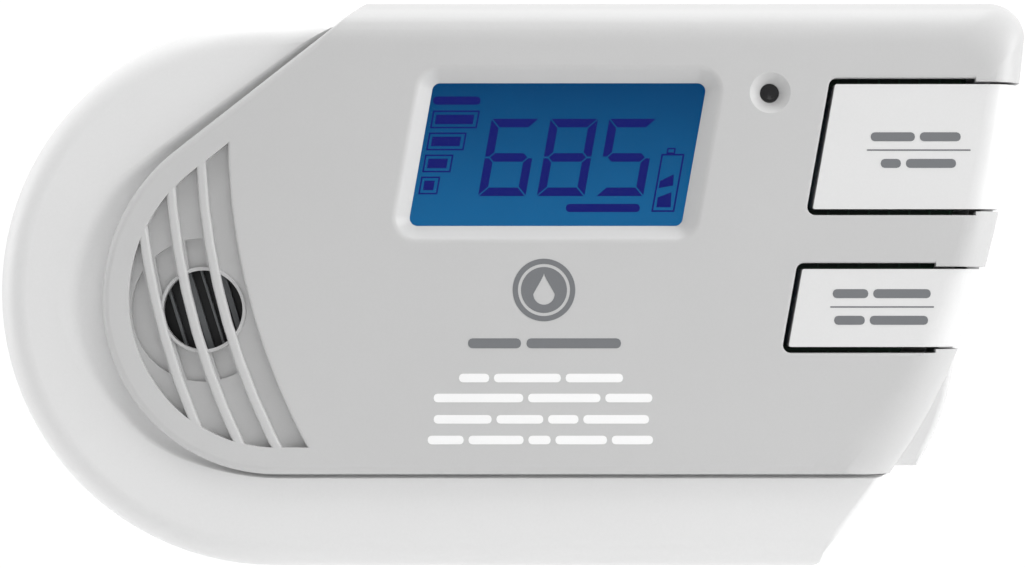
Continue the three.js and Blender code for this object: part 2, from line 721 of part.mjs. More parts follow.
// Laminated core round the bobbin's middle, with its three legs along Z.
function transformerCore() {
  const { x0, x1, y0, y1, z0, z1 } = TRANSFORMER;
  const windows = [-1, 1].map((side) => {
    const y = (y0 + y1) / 2 + side * 5;
    return box(x0 - 1, x1 + 1, y - 2.8, y + 2.8, z0 + 4, z1 - 4);
  });
  return cut(box(x0, x1, y0, y1, z0, z1), ...windows);
}

// One side of the wound coil, which fills a window of the core and bulges past its faces.
function transformerCoil(side) {
  const { x0, x1, y0, y1, z0, z1 } = TRANSFORMER;
  const y = (y0 + y1) / 2 + side * 5;
  return box(x0 - 1.5, x1 + 2.5, y - 2.5, y + 2.5, z0 + 4.3, z1 - 4.3);
}

const filmCapacitor = () => box(45, 61, -20.5, -6.5, 17, 25);

function fuse() {
  const glass = rodX(47.5, 60.5, -9.6, 11.5, 2.2, 16);
  const caps = [[46, 50], [58, 62]].map(([x0, x1]) => rodX(x0, x1, -9.6, 11.5, 2.6, 16));
  return joined(glass, ...caps);
}

const varistor = () => rodX(55, 59, -12.2, 1.5, 5.4, 24);

function electrolytic(x, z, radius, length) {
  return turned(x, z, [[0, -6.5 - length], [radius - 0.6, -6.5 - length], [radius, -6.5 - length + 0.6],
    [radius, -9], [radius - 0.5, -8.4], [radius, -7.8], [radius, -6.5], [0, -6.5]], 24);
}

const linkHeader = () => box(16, 30, -31.1, -6.5, -10, -7.5);
const controller = () => box(5, 15, BOARD.frontY - 1.6, BOARD.frontY - 0.1, -17, -7);

// ---------------------------------------------------------------- battery and its contacts

const BATTERY_TOP = BATTERY.bottom + BATTERY.length;
const BATTERY_MID_Y = BATTERY.backY - BATTERY.depth / 2;
const POLES = { positive: BATTERY.x - 6.35, negative: BATTERY.x + 6.35 };

function batteryBody() {
  const { x, width, depth, bottom, backY } = BATTERY;
  const half = width / 2;
  const outline = roundedPolygon([[x - half, backY - depth], [x + half, backY - depth], [x + half, backY],
    [x - half, backY]], 3);
  const options = { depth: BATTERY.length, bevelEnabled: false, curveSegments: 4 };
  const geometry = new THREE.ExtrudeGeometry(outline, options);
  return solid(geometry.translate(0, 0, bottom));
}

// A round piece standing on the battery's top, along Z. An inner radius makes it a ring.
function upright(x, radius, z0, z1, innerRadius = 0) {
  const make = (r, from, to) =>
    solid(
      new THREE.CylinderGeometry(r, r, to - from, 20)
        .rotateX(Math.PI / 2)
        .translate(x, BATTERY_MID_Y, (from + to) / 2),
    );
  const whole = make(radius, z0, z1);
  return innerRadius ? cut(whole, make(innerRadius, z0 - 1, z1 + 1)) : whole;
}

const batteryStud = () => upright(POLES.positive, 2.9, BATTERY_TOP + 0.05, BATTERY_TOP + 2.6);
const batterySocket = () => upright(POLES.negative, 4, BATTERY_TOP + 0.05, BATTERY_TOP + 2.6, 3.1);
const contactRing = () => upright(POLES.positive, 4, BATTERY_TOP + 0.6, BATTERY_TOP + 3.15, 3.1);
const contactStud = () => upright(POLES.negative, 2.7, BATTERY_TOP + 0.6, BATTERY_TOP + 3.15);

function contactBlock() {
  const z = BATTERY_TOP + 3.2;
  return box(BATTERY.x - 12, BATTERY.x + 12, BATTERY_MID_Y - 5.5, BATTERY_MID_Y + 5.5, z, z + 3.4);
}

// A lead from the contact block, through the tray's top wall and forward to the main board.
function batteryLead(x) {
  const z = BATTERY_TOP + 6.9;
  const route = new THREE.CatmullRomCurve3([
    new THREE.Vector3(x, -24, z),
    new THREE.Vector3(x, -24.1, 23.5),
    new THREE.Vector3(x, -25, 26.2),
    new THREE.Vector3(x, -27.5, 27.6),
    new THREE.Vector3(x, -31.1, 27.8),
  ]);
  const section = new THREE.Shape();
  section.absarc(0, 0, 0.75, 0, 2 * Math.PI, false);
  return solid(new THREE.ExtrudeGeometry(section, { steps: 14, extrudePath: route, curveSegments: 4 }));
}

const ratingLabel = () => box(-67, -41, -9.96, -9.7, -15, 15);

// ---------------------------------------------------------------- assembly

const alarm = new THREE.Group();
alarm.position.set(-PLUG.x, 0, -PLUG.z);

// One named sub-part, placed at a point of the face frame.
function add(name, made, material, x = 0, y = 0, z = 0) {
  const mesh = new THREE.Mesh(geometryOf(made), material);
  mesh.name = name;
  mesh.position.set(x, y, z);
  alarm.add(mesh);
}

const M = MATERIAL;

add("front_cover", frontCover(), M.coverPlastic);
add("rear_housing", rearHousing(), M.whitePlastic);
add("plug_base", plugBase(), M.whitePlastic);
add("back_plate", backPlate(), M.whitePlastic);
add("battery_door", batteryDoor(), M.whitePlastic);
add("battery_tray", batteryTray(), M.whitePlastic);
add("rating_label", ratingLabel(), M.label);

add("test_button", pushButton(BUTTONS.test), M.buttonPlastic);
add("peak_button", pushButton(BUTTONS.peak), M.buttonPlastic);

add("window_lens", windowLens(), M.clearPlastic);
add("lcd_frame", lcdFrame(), M.whitePlastic);
add("lcd_glass", lcdGlass(), M.displayGlass);
add("backlight_panel", backlightPanel(), M.backlight);
add("zebra_strip_top", zebraStrip(LCD.top - 1.6), M.greyRubber);
add("zebra_strip_bottom", zebraStrip(LCD.bottom + 1.6), M.greyRubber);

add("light_pipe", lightPipe(), M.clearPlastic);
add("status_led", statusLed(), M.clearPlastic);

add("horn_cap", hornCap(), M.blackPlastic);
add("piezo_disc", piezoDisc(), M.brass);
add("horn_base", hornBase(), M.blackPlastic);
add("co_sensor_body", coSensorBody(), M.whitePlastic);
add("co_sensor_cap", coSensorCap(), M.blackPlastic);
add("gas_sensor_can", gasSensorCan(), M.steel);
add("gas_sensor_base", gasSensorBase(), M.blackPlastic);

for (const [name, button] of Object.entries(BUTTONS)) {
  add(`${name}_switch_body`, switchBody(button), M.blackPlastic);
  add(`${name}_switch_plunger`, switchPlunger(button), M.blackPlastic);
}

add("main_board", mainBoard(), M.boardGreen);
add("controller_chip", controller(), M.blackPlastic);
add("power_board", powerBoard(), M.boardGreen);
add("transformer_core", transformerCore(), M.coreSteel);
add("transformer_coil_rear", transformerCoil(1), M.tape);
add("transformer_coil_front", transformerCoil(-1), M.tape);
add("film_capacitor", filmCapacitor(), M.filmYellow);
add("fuse", fuse(), M.steel);
add("varistor", varistor(), M.varistorBlue);
add("smoothing_capacitor", electrolytic(48, -6, 5, 18), M.sleeveBlack);
add("link_header", linkHeader(), M.blackPlastic);

add("battery", batteryBody(), M.batteryJacket);
add("battery_stud", batteryStud(), M.steel);
add("battery_socket", batterySocket(), M.steel);
add("contact_block", contactBlock(), M.blackPlastic);
add("contact_ring", contactRing(), M.plating);
add("contact_stud", contactStud(), M.plating);
add("battery_lead_red", batteryLead(BATTERY.x - 1.6), M.redWire);
add("battery_lead_black", batteryLead(BATTERY.x + 1.6), M.blackWire);

add("neutral_blade", blade(BLADE.neutralHeight), M.plating, PLUG.x - BLADE.spacing / 2, 0, PLUG.z);
add("hot_blade", blade(BLADE.hotHeight), M.plating, PLUG.x + BLADE.spacing / 2, 0, PLUG.z);

HOUSING_SCREWS.forEach(([x, z], i) => {
  const { headR, shankR, headY, tipY } = HOUSING_SCREW;
  const length = headY + 0.1 - tipY;
  add(`housing_screw_${i + 1}`, panScrew(headR, 1.9, shankR, length), M.steel, x, headY + 0.1, z);
});
PLATE_SCREWS.forEach(([x, z], i) => {
  add(`plate_screw_${i + 1}`, flatScrew(2.7, 1.3, 1.2, 5.6), M.steel, x, -1.42, z);
});
BOARD_SCREWS.forEach(([x, z], i) => {
  const screw = panScrew(2.1, 1.3, 1, 3.6).rotate([180, 0, 0]);
  add(`board_screw_${i + 1}`, screw, M.steel, x, POWER_BOARD.frontY - 0.1, z);
});

export default alarm;
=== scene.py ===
"""Looks of a plug-in carbon monoxide and gas alarm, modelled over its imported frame.

Pieces are modelled in millimetres about the middle of the face (X across, Y from the room to the wall, Z up)
and are then settled into the frame's metres.
"""

import json
import logging
import math
from collections.abc import Callable, Iterator, Sequence
from contextlib import contextmanager
from dataclasses import dataclass, field
from enum import Enum

import bmesh
import bpy
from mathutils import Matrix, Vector


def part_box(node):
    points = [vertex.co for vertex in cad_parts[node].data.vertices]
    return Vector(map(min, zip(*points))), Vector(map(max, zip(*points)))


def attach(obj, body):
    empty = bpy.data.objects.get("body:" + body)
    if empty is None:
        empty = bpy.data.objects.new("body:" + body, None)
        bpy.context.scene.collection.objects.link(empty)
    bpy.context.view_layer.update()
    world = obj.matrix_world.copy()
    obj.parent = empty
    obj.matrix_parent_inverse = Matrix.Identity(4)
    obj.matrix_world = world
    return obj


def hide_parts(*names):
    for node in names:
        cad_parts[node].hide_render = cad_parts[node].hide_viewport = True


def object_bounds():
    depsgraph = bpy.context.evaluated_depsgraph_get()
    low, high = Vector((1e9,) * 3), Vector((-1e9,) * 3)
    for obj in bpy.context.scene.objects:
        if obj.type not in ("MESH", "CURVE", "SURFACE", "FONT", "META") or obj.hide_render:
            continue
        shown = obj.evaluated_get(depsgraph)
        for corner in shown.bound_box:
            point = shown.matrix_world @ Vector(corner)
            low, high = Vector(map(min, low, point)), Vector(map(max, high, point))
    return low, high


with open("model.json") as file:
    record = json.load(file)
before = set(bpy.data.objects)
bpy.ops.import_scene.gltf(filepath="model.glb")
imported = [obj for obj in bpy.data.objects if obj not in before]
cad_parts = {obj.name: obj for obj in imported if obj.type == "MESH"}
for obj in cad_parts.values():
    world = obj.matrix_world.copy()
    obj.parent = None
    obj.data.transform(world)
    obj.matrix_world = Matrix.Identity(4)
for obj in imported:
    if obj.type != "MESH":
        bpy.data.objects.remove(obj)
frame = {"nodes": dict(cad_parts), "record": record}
CAD_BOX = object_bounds()
log = logging.getLogger("alarm")

Point = tuple[float, float]
Colour = tuple[float, float, float]
MM = 0.001
COVER_LEFT = 61.8  # the cover's left edge, from the middle of the face
COVER_TOP = 42.5  # the cover's top edge, from the middle of the face
COVER_LOW, COVER_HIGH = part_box("front_cover")
MIDDLE = Vector((COVER_LOW.x / MM + COVER_LEFT, 0, COVER_HIGH.z / MM - COVER_TOP))
POWER_OPENING = ((13.5, -15.0), (63.0, 27.0))  # where the housing opens into the plug base: its two corners
PRINT_PROUD = 0.03  # how far printed marks stand proud


class Body(Enum):
    """The rigid bodies that pieces ride on."""

    ALARM = "alarm"
    TEST = "test_button"
    PEAK = "peak_button"
    DOOR = "battery_door"


class Join(Enum):
    """How a tool changes a workpiece."""

    ADD = "UNION"
    CUT = "DIFFERENCE"
    KEEP = "INTERSECT"


def node_box(node: str) -> tuple[Vector, Vector]:
    """A frame node's lowest and highest corners, in millimetres about the middle of the face.

    Args:
        node: the node's name.

    Returns:
        The two corners.
    """
    low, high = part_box(node)
    return low / MM - MIDDLE, high / MM - MIDDLE


def node_middle(node: str) -> Vector:
    """The middle of a frame node's box, in millimetres about the middle of the face."""
    low, high = node_box(node)
    return (low + high) / 2


# ---------------------------------------------------------------- outlines


@dataclass(frozen=True)
class Knot:
    """A point of a flat outline, with the curve handles that lead into and out of it."""

    at: Point
    into: Point | None = None
    out: Point | None = None

    def moved(self, across: float, up: float) -> "Knot":
        """The knot and its handles, moved."""
        points = (self.at, self.into, self.out)
        return Knot(*[point and (point[0] + across, point[1] + up) for point in points])


def polar(centre: Point, radius: float, degrees: float) -> Point:
    """The point at an angle on a circle."""
    turn = math.radians(degrees)
    return centre[0] + radius * math.cos(turn), centre[1] + radius * math.sin(turn)


def arc(centre: Point, radius: float, start: float, end: float) -> list[Knot]:
    """Knots along a circular arc, at most 45 degrees apart.

    Args:
        centre: the circle's centre.
        radius: its radius.
        start: the angle of the first knot, in degrees.
        end: the angle of the last knot.

    Returns:
        The knots from start to end.
    """
    count = max(1, math.ceil(abs(end - start) / 45))
    step = (end - start) / count
    reach = 4 / 3 * math.tan(math.radians(step) / 4) * radius
    knots = []
    for i in range(count + 1):
        degrees = start + i * step
        here = polar(centre, radius, degrees)
        along = polar((0, 0), reach, degrees + 90)
        before = (here[0] - along[0], here[1] - along[1]) if i else None
        after = (here[0] + along[0], here[1] + along[1]) if i < count else None
        knots.append(Knot(here, before, after))
    return knots


def rounded(corners: Sequence[Point], radius: float) -> list[Knot]:
    """A polygon with round corners.

    Args:
        corners: the polygon's corners in order.
        radius: the radius of every corner.

    Returns:
        Its knots, two for each corner.
    """
    knots = []
    for i, corner in enumerate(corners):
        here = Vector(corner)
        back = (Vector(corners[i - 1]) - here).normalized()
        onward = (Vector(corners[(i + 1) % len(corners)]) - here).normalized()
        between = math.acos(max(-1.0, min(1.0, back.dot(onward))))
        reach = radius / math.tan(between / 2)
        handle = 4 / 3 * math.tan((math.pi - between) / 4) * radius
        start, end = here + back * reach, here + onward * reach
        knots.append(Knot(tuple(start), None, tuple(start - back * handle)))
        knots.append(Knot(tuple(end), tuple(end - onward * handle), None))
    return knots


def block(left: float, bottom: float, right: float, top: float, radius: float = 0.0) -> list[Knot]:
    """An upright rectangle, with round corners where a radius is given."""
    corners = [(left, bottom), (right, bottom), (right, top), (left, top)]
    return rounded(corners, radius) if radius else [Knot(c) for c in corners]


@dataclass(frozen=True)
class Leaning:
    """A shape whose two sides lean to the right, as the window, the buttons and the digits do."""

    left: float
    right: float
    bottom: float
    top: float
    corner: float = 1.0
    slant: float = 3.8 / 21.3

    def outline(self, grow: float = 0.0) -> list[Knot]:
        """The outline, moved outwards all round by `grow`.

        Args:
            grow: how far each side moves outwards.

        Returns:
            Its knots.
        """
        height = self.top - self.bottom
        side = grow * math.hypot(1, self.slant)
        low, high = -grow * self.slant, (height + grow) * self.slant
        corners = [
            (self.left - side + low, self.bottom - grow),
            (self.right + side + low, self.bottom - grow),
            (self.right + side + high, self.top + grow),
            (self.left - side + high, self.top + grow),
        ]
        return rounded(corners, max(0.05, self.corner + grow))


# ---------------------------------------------------------------- the workbench


def activate(obj: bpy.types.Object) -> None:
    """Selects one object alone and makes it the active one.

    Args:
        obj: the object.
    """
    bpy.ops.object.select_all(action="DESELECT")
    obj.select_set(True)
    bpy.context.view_layer.objects.active = obj


@contextmanager
def editing(obj: bpy.types.Object, kind: str = "EDGE") -> Iterator[bmesh.types.BMesh]:
    """Edit mode on one object with nothing selected.

    Args:
        obj: the mesh object.
        kind: the selection mode, VERT, EDGE or FACE.

    Yields:
        The mesh under edit, in which elements can be selected.
    """
    activate(obj)
    bpy.ops.object.mode_set(mode="EDIT")
    bpy.ops.mesh.select_mode(type=kind)
    bpy.ops.mesh.select_all(action="DESELECT")
    yield bmesh.from_edit_mesh(obj.data)
    bpy.ops.object.mode_set(mode="OBJECT")


class Workpiece:
    """A mesh under construction, with the operators that shape it."""

    def __init__(self, obj: bpy.types.Object, name: str) -> None:
        """Takes over a new object and names it.

        Args:
            obj: the mesh object.
            name: its name, and its mesh's.
        """
        self.obj = obj
        obj.name = name
        obj.data.name = name

    @classmethod
    def _added(cls, name: str) -> "Workpiece":
        """The primitive that was added last, with its place in its mesh.

        Args:
            name: the piece's name.

        Returns:
            The primitive as a workpiece.
        """
        obj = bpy.context.active_object
        bpy.ops.object.transform_apply(location=True, rotation=True, scale=True)
        return cls(obj, name)

    @classmethod
    def cube(cls, name: str, low: Sequence[float], high: Sequence[float]) -> "Workpiece":
        """A box between two corners.

        Args:
            name: the piece's name.
            low: its lowest corner.
            high: its highest corner.

        Returns:
            The box.
        """
        middle = [(a + b) / 2 for a, b in zip(low, high)]
        size = [b - a for a, b in zip(low, high)]
        bpy.ops.object.select_all(action="DESELECT")
        bpy.ops.mesh.primitive_cube_add(size=1, location=middle, scale=size)
        return cls._added(name)

    @classmethod
    def rod(cls, name: str, at: Point, radius: float, back: float, front: float, sides: int = 48,
            front_radius: float | None = None) -> "Workpiece":
        """A round bar or cone along Y.

        Args:
            name: the piece's name.
            at: the axis, across and up.
            radius: the radius at the rear end.
            back: the depth of the rear end.
            front: the depth of the front end.
            sides: the number of sides.
            front_radius: the radius at the front end, where it differs.

        Returns:
            The bar.
        """
        bpy.ops.object.select_all(action="DESELECT")
        bpy.ops.mesh.primitive_cone_add(
            vertices=sides, radius1=radius, radius2=radius if front_radius is None else front_radius,
            depth=back - front, location=(at[0], (back + front) / 2, at[1]), rotation=(math.pi / 2, 0, 0))
        return cls._added(name)

    @classmethod
    def axle(cls, name: str, low: float, high: float, radius: float, at: Point,
             sides: int = 40) -> "Workpiece":
        """A round bar along X.

        Args:
            name: the piece's name.
            low: where its left end is.
            high: where its right end is.
            radius: its radius.
            at: its axis, as a depth and a height.
            sides: the number of sides.

        Returns:
            The bar.
        """
        bpy.ops.object.select_all(action="DESELECT")
        bpy.ops.mesh.primitive_cylinder_add(vertices=sides, radius=radius, depth=high - low,
                                            location=((low + high) / 2, *at), rotation=(0, math.pi / 2, 0))
        return cls._added(name)

    @classmethod
    def loft(cls, name: str, rings: Sequence[tuple[Sequence[Knot], float]],
             detail: int = 8) -> "Workpiece":
        """A solid through flat outlines of equally many knots, from the rear to the front.

        Args:
            name: the piece's name.
            rings: each outline with its depth.
            detail: points on each curved stretch.

        Returns:
            The closed solid.
        """
        bpy.ops.object.select_all(action="DESELECT")
        bpy.ops.curve.primitive_bezier_circle_add()
        curve = bpy.context.active_object.data
        curve.splines.clear()
        for knots, depth in rings:
            spline = curve.splines.new("BEZIER")
            spline.bezier_points.add(len(knots) - 1)
            spline.use_cyclic_u = True
            spline.resolution_u = detail
            for knot, point in zip(knots, spline.bezier_points):
                point.co = (knot.at[0], depth, knot.at[1])
                point.handle_left_type = "FREE" if knot.into else "VECTOR"
                point.handle_right_type = "FREE" if knot.out else "VECTOR"
                if knot.into:
                    point.handle_left = (knot.into[0], depth, knot.into[1])
                if knot.out:
                    point.handle_right = (knot.out[0], depth, knot.out[1])
        bpy.ops.object.convert(target="MESH")
        piece = cls._added(name)
        if len(rings) > 1:
            with editing(piece.obj):
                bpy.ops.mesh.select_all(action="SELECT")
                bpy.ops.mesh.bridge_edge_loops(type="SINGLE")
        for depth in {rings[0][1], rings[-1][1]}:
            piece.cap(depth)
        return piece.outwards()

    @classmethod
    def prism(cls, name: str, outline: Sequence[Knot], back: float, front: float,
              detail: int = 8) -> "Workpiece":
        """An outline extruded from one depth to another.

        Args:
            name: the piece's name.
            outline: the flat outline.
            back: the depth of the rear end.
            front: the depth of the front end.
            detail: points on each curved stretch.

        Returns:
            The closed solid.
        """
        piece = cls.loft(name, [(outline, back)], detail)
        with editing(piece.obj, "FACE"):
            bpy.ops.mesh.select_all(action="SELECT")
            bpy.ops.mesh.extrude_region_move(TRANSFORM_OT_translate={"value": (0, front - back, 0)})
        return piece.outwards()

    @classmethod
    def rolled(cls, name: str, outline: Callable[[float], list[Knot]], back: float, front: float,
               width: float, depth: float, steps: int = 10) -> "Workpiece":
        """A solid whose front edge rolls over in a quarter ellipse.

        Args:
            name: the piece's name.
            outline: gives the outline moved inwards by a distance.
            back: the depth of the rear end.
            front: the depth of the front end.
            width: how far in the roll reaches across the front.
            depth: how far back it reaches down the sides.
            steps: the number of its bands.

        Returns:
            The solid.
        """
        rings = [(outline(0.0), back)]
        for i in range(steps + 1):
            turn = math.pi / 2 * i / steps
            rings.append((outline(width * (1 - math.cos(turn))), front + depth * (1 - math.sin(turn))))
        return cls.loft(name, rings, 12)

    def cap(self, depth: float) -> None:
        """Closes the open loop at a depth with one face.

        Args:
            depth: where the loop lies.
        """
        with editing(self.obj) as mesh:
            for edge in mesh.edges:
                if len(edge.link_faces) < 2 and all(abs(v.co.y - depth) < 1e-4 for v in edge.verts):
                    edge.select_set(True)
            bpy.ops.mesh.edge_face_add()

    def outwards(self) -> "Workpiece":
        """Merges doubles and turns every face outwards.

        Returns:
            The piece itself.
        """
        with editing(self.obj):
            bpy.ops.mesh.select_all(action="SELECT")
            bpy.ops.mesh.remove_doubles(threshold=1e-4)
            bpy.ops.mesh.normals_make_consistent(inside=False)
        return self

    def bevel(self, where: Callable[[Vector], bool], width: float, segments: int = 4) -> "Workpiece":
        """Rounds the edges whose two ends pass a test.

        Args:
            where: the test of an edge's end.
            width: the width of the rounding.
            segments: its number of segments.

        Returns:
            The piece itself.
        """
        with editing(self.obj) as mesh:
            for edge in mesh.edges:
                sharp = len(edge.link_faces) == 2 and edge.calc_face_angle(0) > 0.35
                if sharp and all(where(v.co) for v in edge.verts):
                    edge.select_set(True)
            bpy.ops.mesh.bevel(offset=width, segments=segments, profile=0.5, affect="EDGES",
                               clamp_overlap=False)
        return self

    def inset(self, where: Callable[[Vector, Vector], bool], width: float, push: float = 0.0) -> "Workpiece":
        """Insets the faces whose middle and normal pass a test, then extrudes them along Y.

        Args:
            where: the test of a face's middle and its normal.
            width: the width of the inset.
            push: how far the inset face then moves along Y.

        Returns:
            The piece itself.
        """
        with editing(self.obj, "FACE") as mesh:
            for face in mesh.faces:
                if where(face.calc_center_median(), face.normal):
                    face.select_set(True)
            bpy.ops.mesh.inset(thickness=width, use_boundary=True)
            if push:
                bpy.ops.mesh.extrude_region_move(TRANSFORM_OT_translate={"value": (0, push, 0)})
        return self

    def combine(self, how: Join, *tools: "Workpiece") -> "Workpiece":
        """Cuts, joins or keeps what overlaps with other workpieces, which are used up.

        Args:
            how: what the tools do.
            tools: the other workpieces, in order.

        Returns:
            The piece itself.
        """
        for tool in tools:
            activate(self.obj)
            bpy.ops.object.modifier_add(type="BOOLEAN")
            modifier = self.obj.modifiers[-1]
            modifier.operation = how.value
            modifier.solver = "MANIFOLD"
            modifier.object = tool.obj
            bpy.ops.object.modifier_apply(modifier=modifier.name)
            bpy.data.objects.remove(tool.obj)
        return self

    def gather(self, *others: "Workpiece") -> "Workpiece":
        """Takes other, separate workpieces into the same mesh.

        Args:
            others: the workpieces to take in.

        Returns:
            The piece itself.
        """
        activate(self.obj)
        for other in others:
            other.obj.select_set(True)
        bpy.ops.object.join()
        return self

    def copied(self, name: str, move: Sequence[float]) -> "Workpiece":
        """A copy with its own mesh, moved.

        Args:
            name: the copy's name.
            move: how far it moves along each axis.

        Returns:
            The copy.
        """
        activate(self.obj)
        bpy.ops.object.duplicate(linked=False)
        copy = Workpiece(bpy.context.active_object, name)
        copy.obj.location = move
        bpy.ops.object.transform_apply(location=True, rotation=False, scale=False)
        return copy

    def eased(self, width: float, segments: int = 2, degrees: float = 40) -> "Workpiece":
        """Rounds every edge sharper than an angle with a bevel modifier.

        Args:
            width: the width of the rounding.
            segments: its number of segments.
            degrees: the angle.

        Returns:
            The piece itself.
        """
        activate(self.obj)
        bpy.ops.object.modifier_add(type="BEVEL")
        modifier = self.obj.modifiers[-1]
        modifier.width = width
        modifier.segments = segments
        modifier.limit_method = "ANGLE"
        modifier.angle_limit = math.radians(degrees)
        modifier.use_clamp_overlap = True
        bpy.ops.object.modifier_apply(modifier=modifier.name)
        return self

    def finish(self, body: Body, dressing: "Finish", slot: str, *nodes: str,
               smooth: float = 35) -> bpy.types.Object:
        """Settles the piece in the frame, dresses it and lets it ride on its body.

        Args:
            body: the body it moves with.
            dressing: its finish.
            slot: the record's material slot; not used.
            nodes: the frame nodes it stands for.
            smooth: the angle up to which its faces are shaded smooth.

        Returns:
            The finished object.
        """
        activate(self.obj)
        self.obj.scale = (MM, MM, MM)
        self.obj.location = MIDDLE * MM
        bpy.ops.object.transform_apply(location=True, rotation=True, scale=True)
        bpy.ops.object.shade_smooth_by_angle(angle=math.radians(smooth))
        bpy.ops.object.modifier_add(type="WEIGHTED_NORMAL")
        modifier = self.obj.modifiers[-1]
        modifier.keep_sharp = True
        bpy.ops.object.modifier_apply(modifier=modifier.name)
        self.obj.data.materials.clear()
        self.obj.data.materials.append(dressing.material())
        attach(self.obj, body.value)
        if nodes:
            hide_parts(*nodes)
        log.info("%s: %d faces on %s", self.obj.name, len(self.obj.data.polygons), body.value)
        return self.obj


# ---------------------------------------------------------------- finishes


class Graph:
    """A node tree with short ways to add and link its nodes."""

    def __init__(self, tree: bpy.types.NodeTree) -> None:
        """Works on a tree that is ready for nodes."""
        self.tree = tree

    def add(self, kind: str, **values: object) -> bpy.types.Node:
        """Adds a node; a value is set on the property of that name, or else on the input of that name.

        Args:
            kind: the node's type.
            values: the values to set.

        Returns:
            The node.
        """
        node = self.tree.nodes.new(kind)
        for key, value in values.items():
            if hasattr(node, key):
                setattr(node, key, value)
            else:
                node.inputs[key.replace("_", " ")].default_value = value
        return node

    def link(self, source: bpy.types.NodeSocket, target: bpy.types.NodeSocket) -> None:
        """Links two sockets."""
        self.tree.links.new(source, target)

    def maths(self, operation: str, first: object, second: object = 0.5) -> bpy.types.NodeSocket:
        """A math node on two numbers or sockets, and its result.

        Args:
            operation: what it works out.
            first: its first number or socket.
            second: its second number or socket.

        Returns:
            The result's socket.
        """
        node = self.add("ShaderNodeMath", operation=operation)
        for socket, value in zip(node.inputs, (first, second)):
            if isinstance(value, bpy.types.NodeSocket):
                self.link(value, socket)
            else:
                socket.default_value = value
        return node.outputs[0]

    def blend(self, mode: str, share: object, first: object, second: object) -> bpy.types.NodeSocket:
        """A colour mix node, and its result.

        Args:
            mode: how it mixes.
            share: how much of the second colour shows.
            first: the first colour.
            second: the second colour.

        Returns:
            The result's socket.
        """
        node = self.add("ShaderNodeMix", data_type="RGBA", blend_type=mode)
        for socket, value in zip((node.inputs[0], node.inputs[6], node.inputs[7]), (share, first, second)):
            if isinstance(value, bpy.types.NodeSocket):
                self.link(value, socket)
            else:
                socket.default_value = (*value, 1.0) if isinstance(value, tuple) else value
        return node.outputs[2]


def new_group(name: str, inputs: dict[str, str], outputs: dict[str, str]) -> tuple[bpy.types.NodeTree, Graph]:
    """A shader node group with named sockets.

    Args:
        name: the group's name.
        inputs: socket names and kinds.
        outputs: socket names and kinds.

    Returns:
        The group and a graph on it.
    """
    tree = bpy.data.node_groups.new(name, "ShaderNodeTree")
    for label, kind in inputs.items():
        tree.interface.new_socket(name=label, in_out="INPUT", socket_type=f"NodeSocket{kind}")
    for label, kind in outputs.items():
        tree.interface.new_socket(name=label, in_out="OUTPUT", socket_type=f"NodeSocket{kind}")
    return tree, Graph(tree)


def moulded_surface() -> bpy.types.NodeTree:
    """Spark-eroded mould texture with slow drifts of tone and gloss, as a node group built once.

    Returns:
        The group.
    """
    name = "moulded surface"
    if name in bpy.data.node_groups:
        return bpy.data.node_groups[name]
    tree, graph = new_group(
        name,
        {"Vector": "Vector", "Colour": "Color", "Gloss": "Float", "Grain": "Float", "Drift": "Float"},
        {"Colour": "Color", "Roughness": "Float", "Height": "Float"})
    given = graph.add("NodeGroupInput")
    result = graph.add("NodeGroupOutput")
    pits = graph.add("ShaderNodeTexNoise", Detail=3.0, Roughness=0.6)
    graph.link(given.outputs["Vector"], pits.inputs["Vector"])
    graph.link(given.outputs["Grain"], pits.inputs["Scale"])
    clouds = graph.add("ShaderNodeTexNoise", Scale=38.0, Detail=2.0)
    graph.link(given.outputs["Vector"], clouds.inputs["Vector"])
    specks = graph.add("ShaderNodeTexVoronoi", Scale=900.0, feature="F1")
    graph.link(given.outputs["Vector"], specks.inputs["Vector"])
    drift = graph.maths("MULTIPLY", graph.maths("SUBTRACT", clouds.outputs["Fac"]), given.outputs["Drift"])
    fine = graph.maths("MULTIPLY", graph.maths("SUBTRACT", pits.outputs["Fac"]), 0.05)
    tone = graph.maths("ADD", graph.maths("ADD", drift, fine), 1.0)
    shade = graph.add("ShaderNodeCombineColor")
    for socket in shade.inputs:
        graph.link(tone, socket)
    tinted = graph.blend("MULTIPLY", 1.0, given.outputs["Colour"], shade.outputs[0])
    graph.link(tinted, result.inputs["Colour"])
    wander = graph.maths("MULTIPLY", graph.maths("SUBTRACT", clouds.outputs["Fac"]), 0.16)
    graph.link(graph.maths("ADD", given.outputs["Gloss"], wander), result.inputs["Roughness"])
    dots = graph.maths("MULTIPLY", specks.outputs["Distance"], 0.25)
    graph.link(graph.maths("ADD", pits.outputs["Fac"], dots), result.inputs["Height"])
    return tree


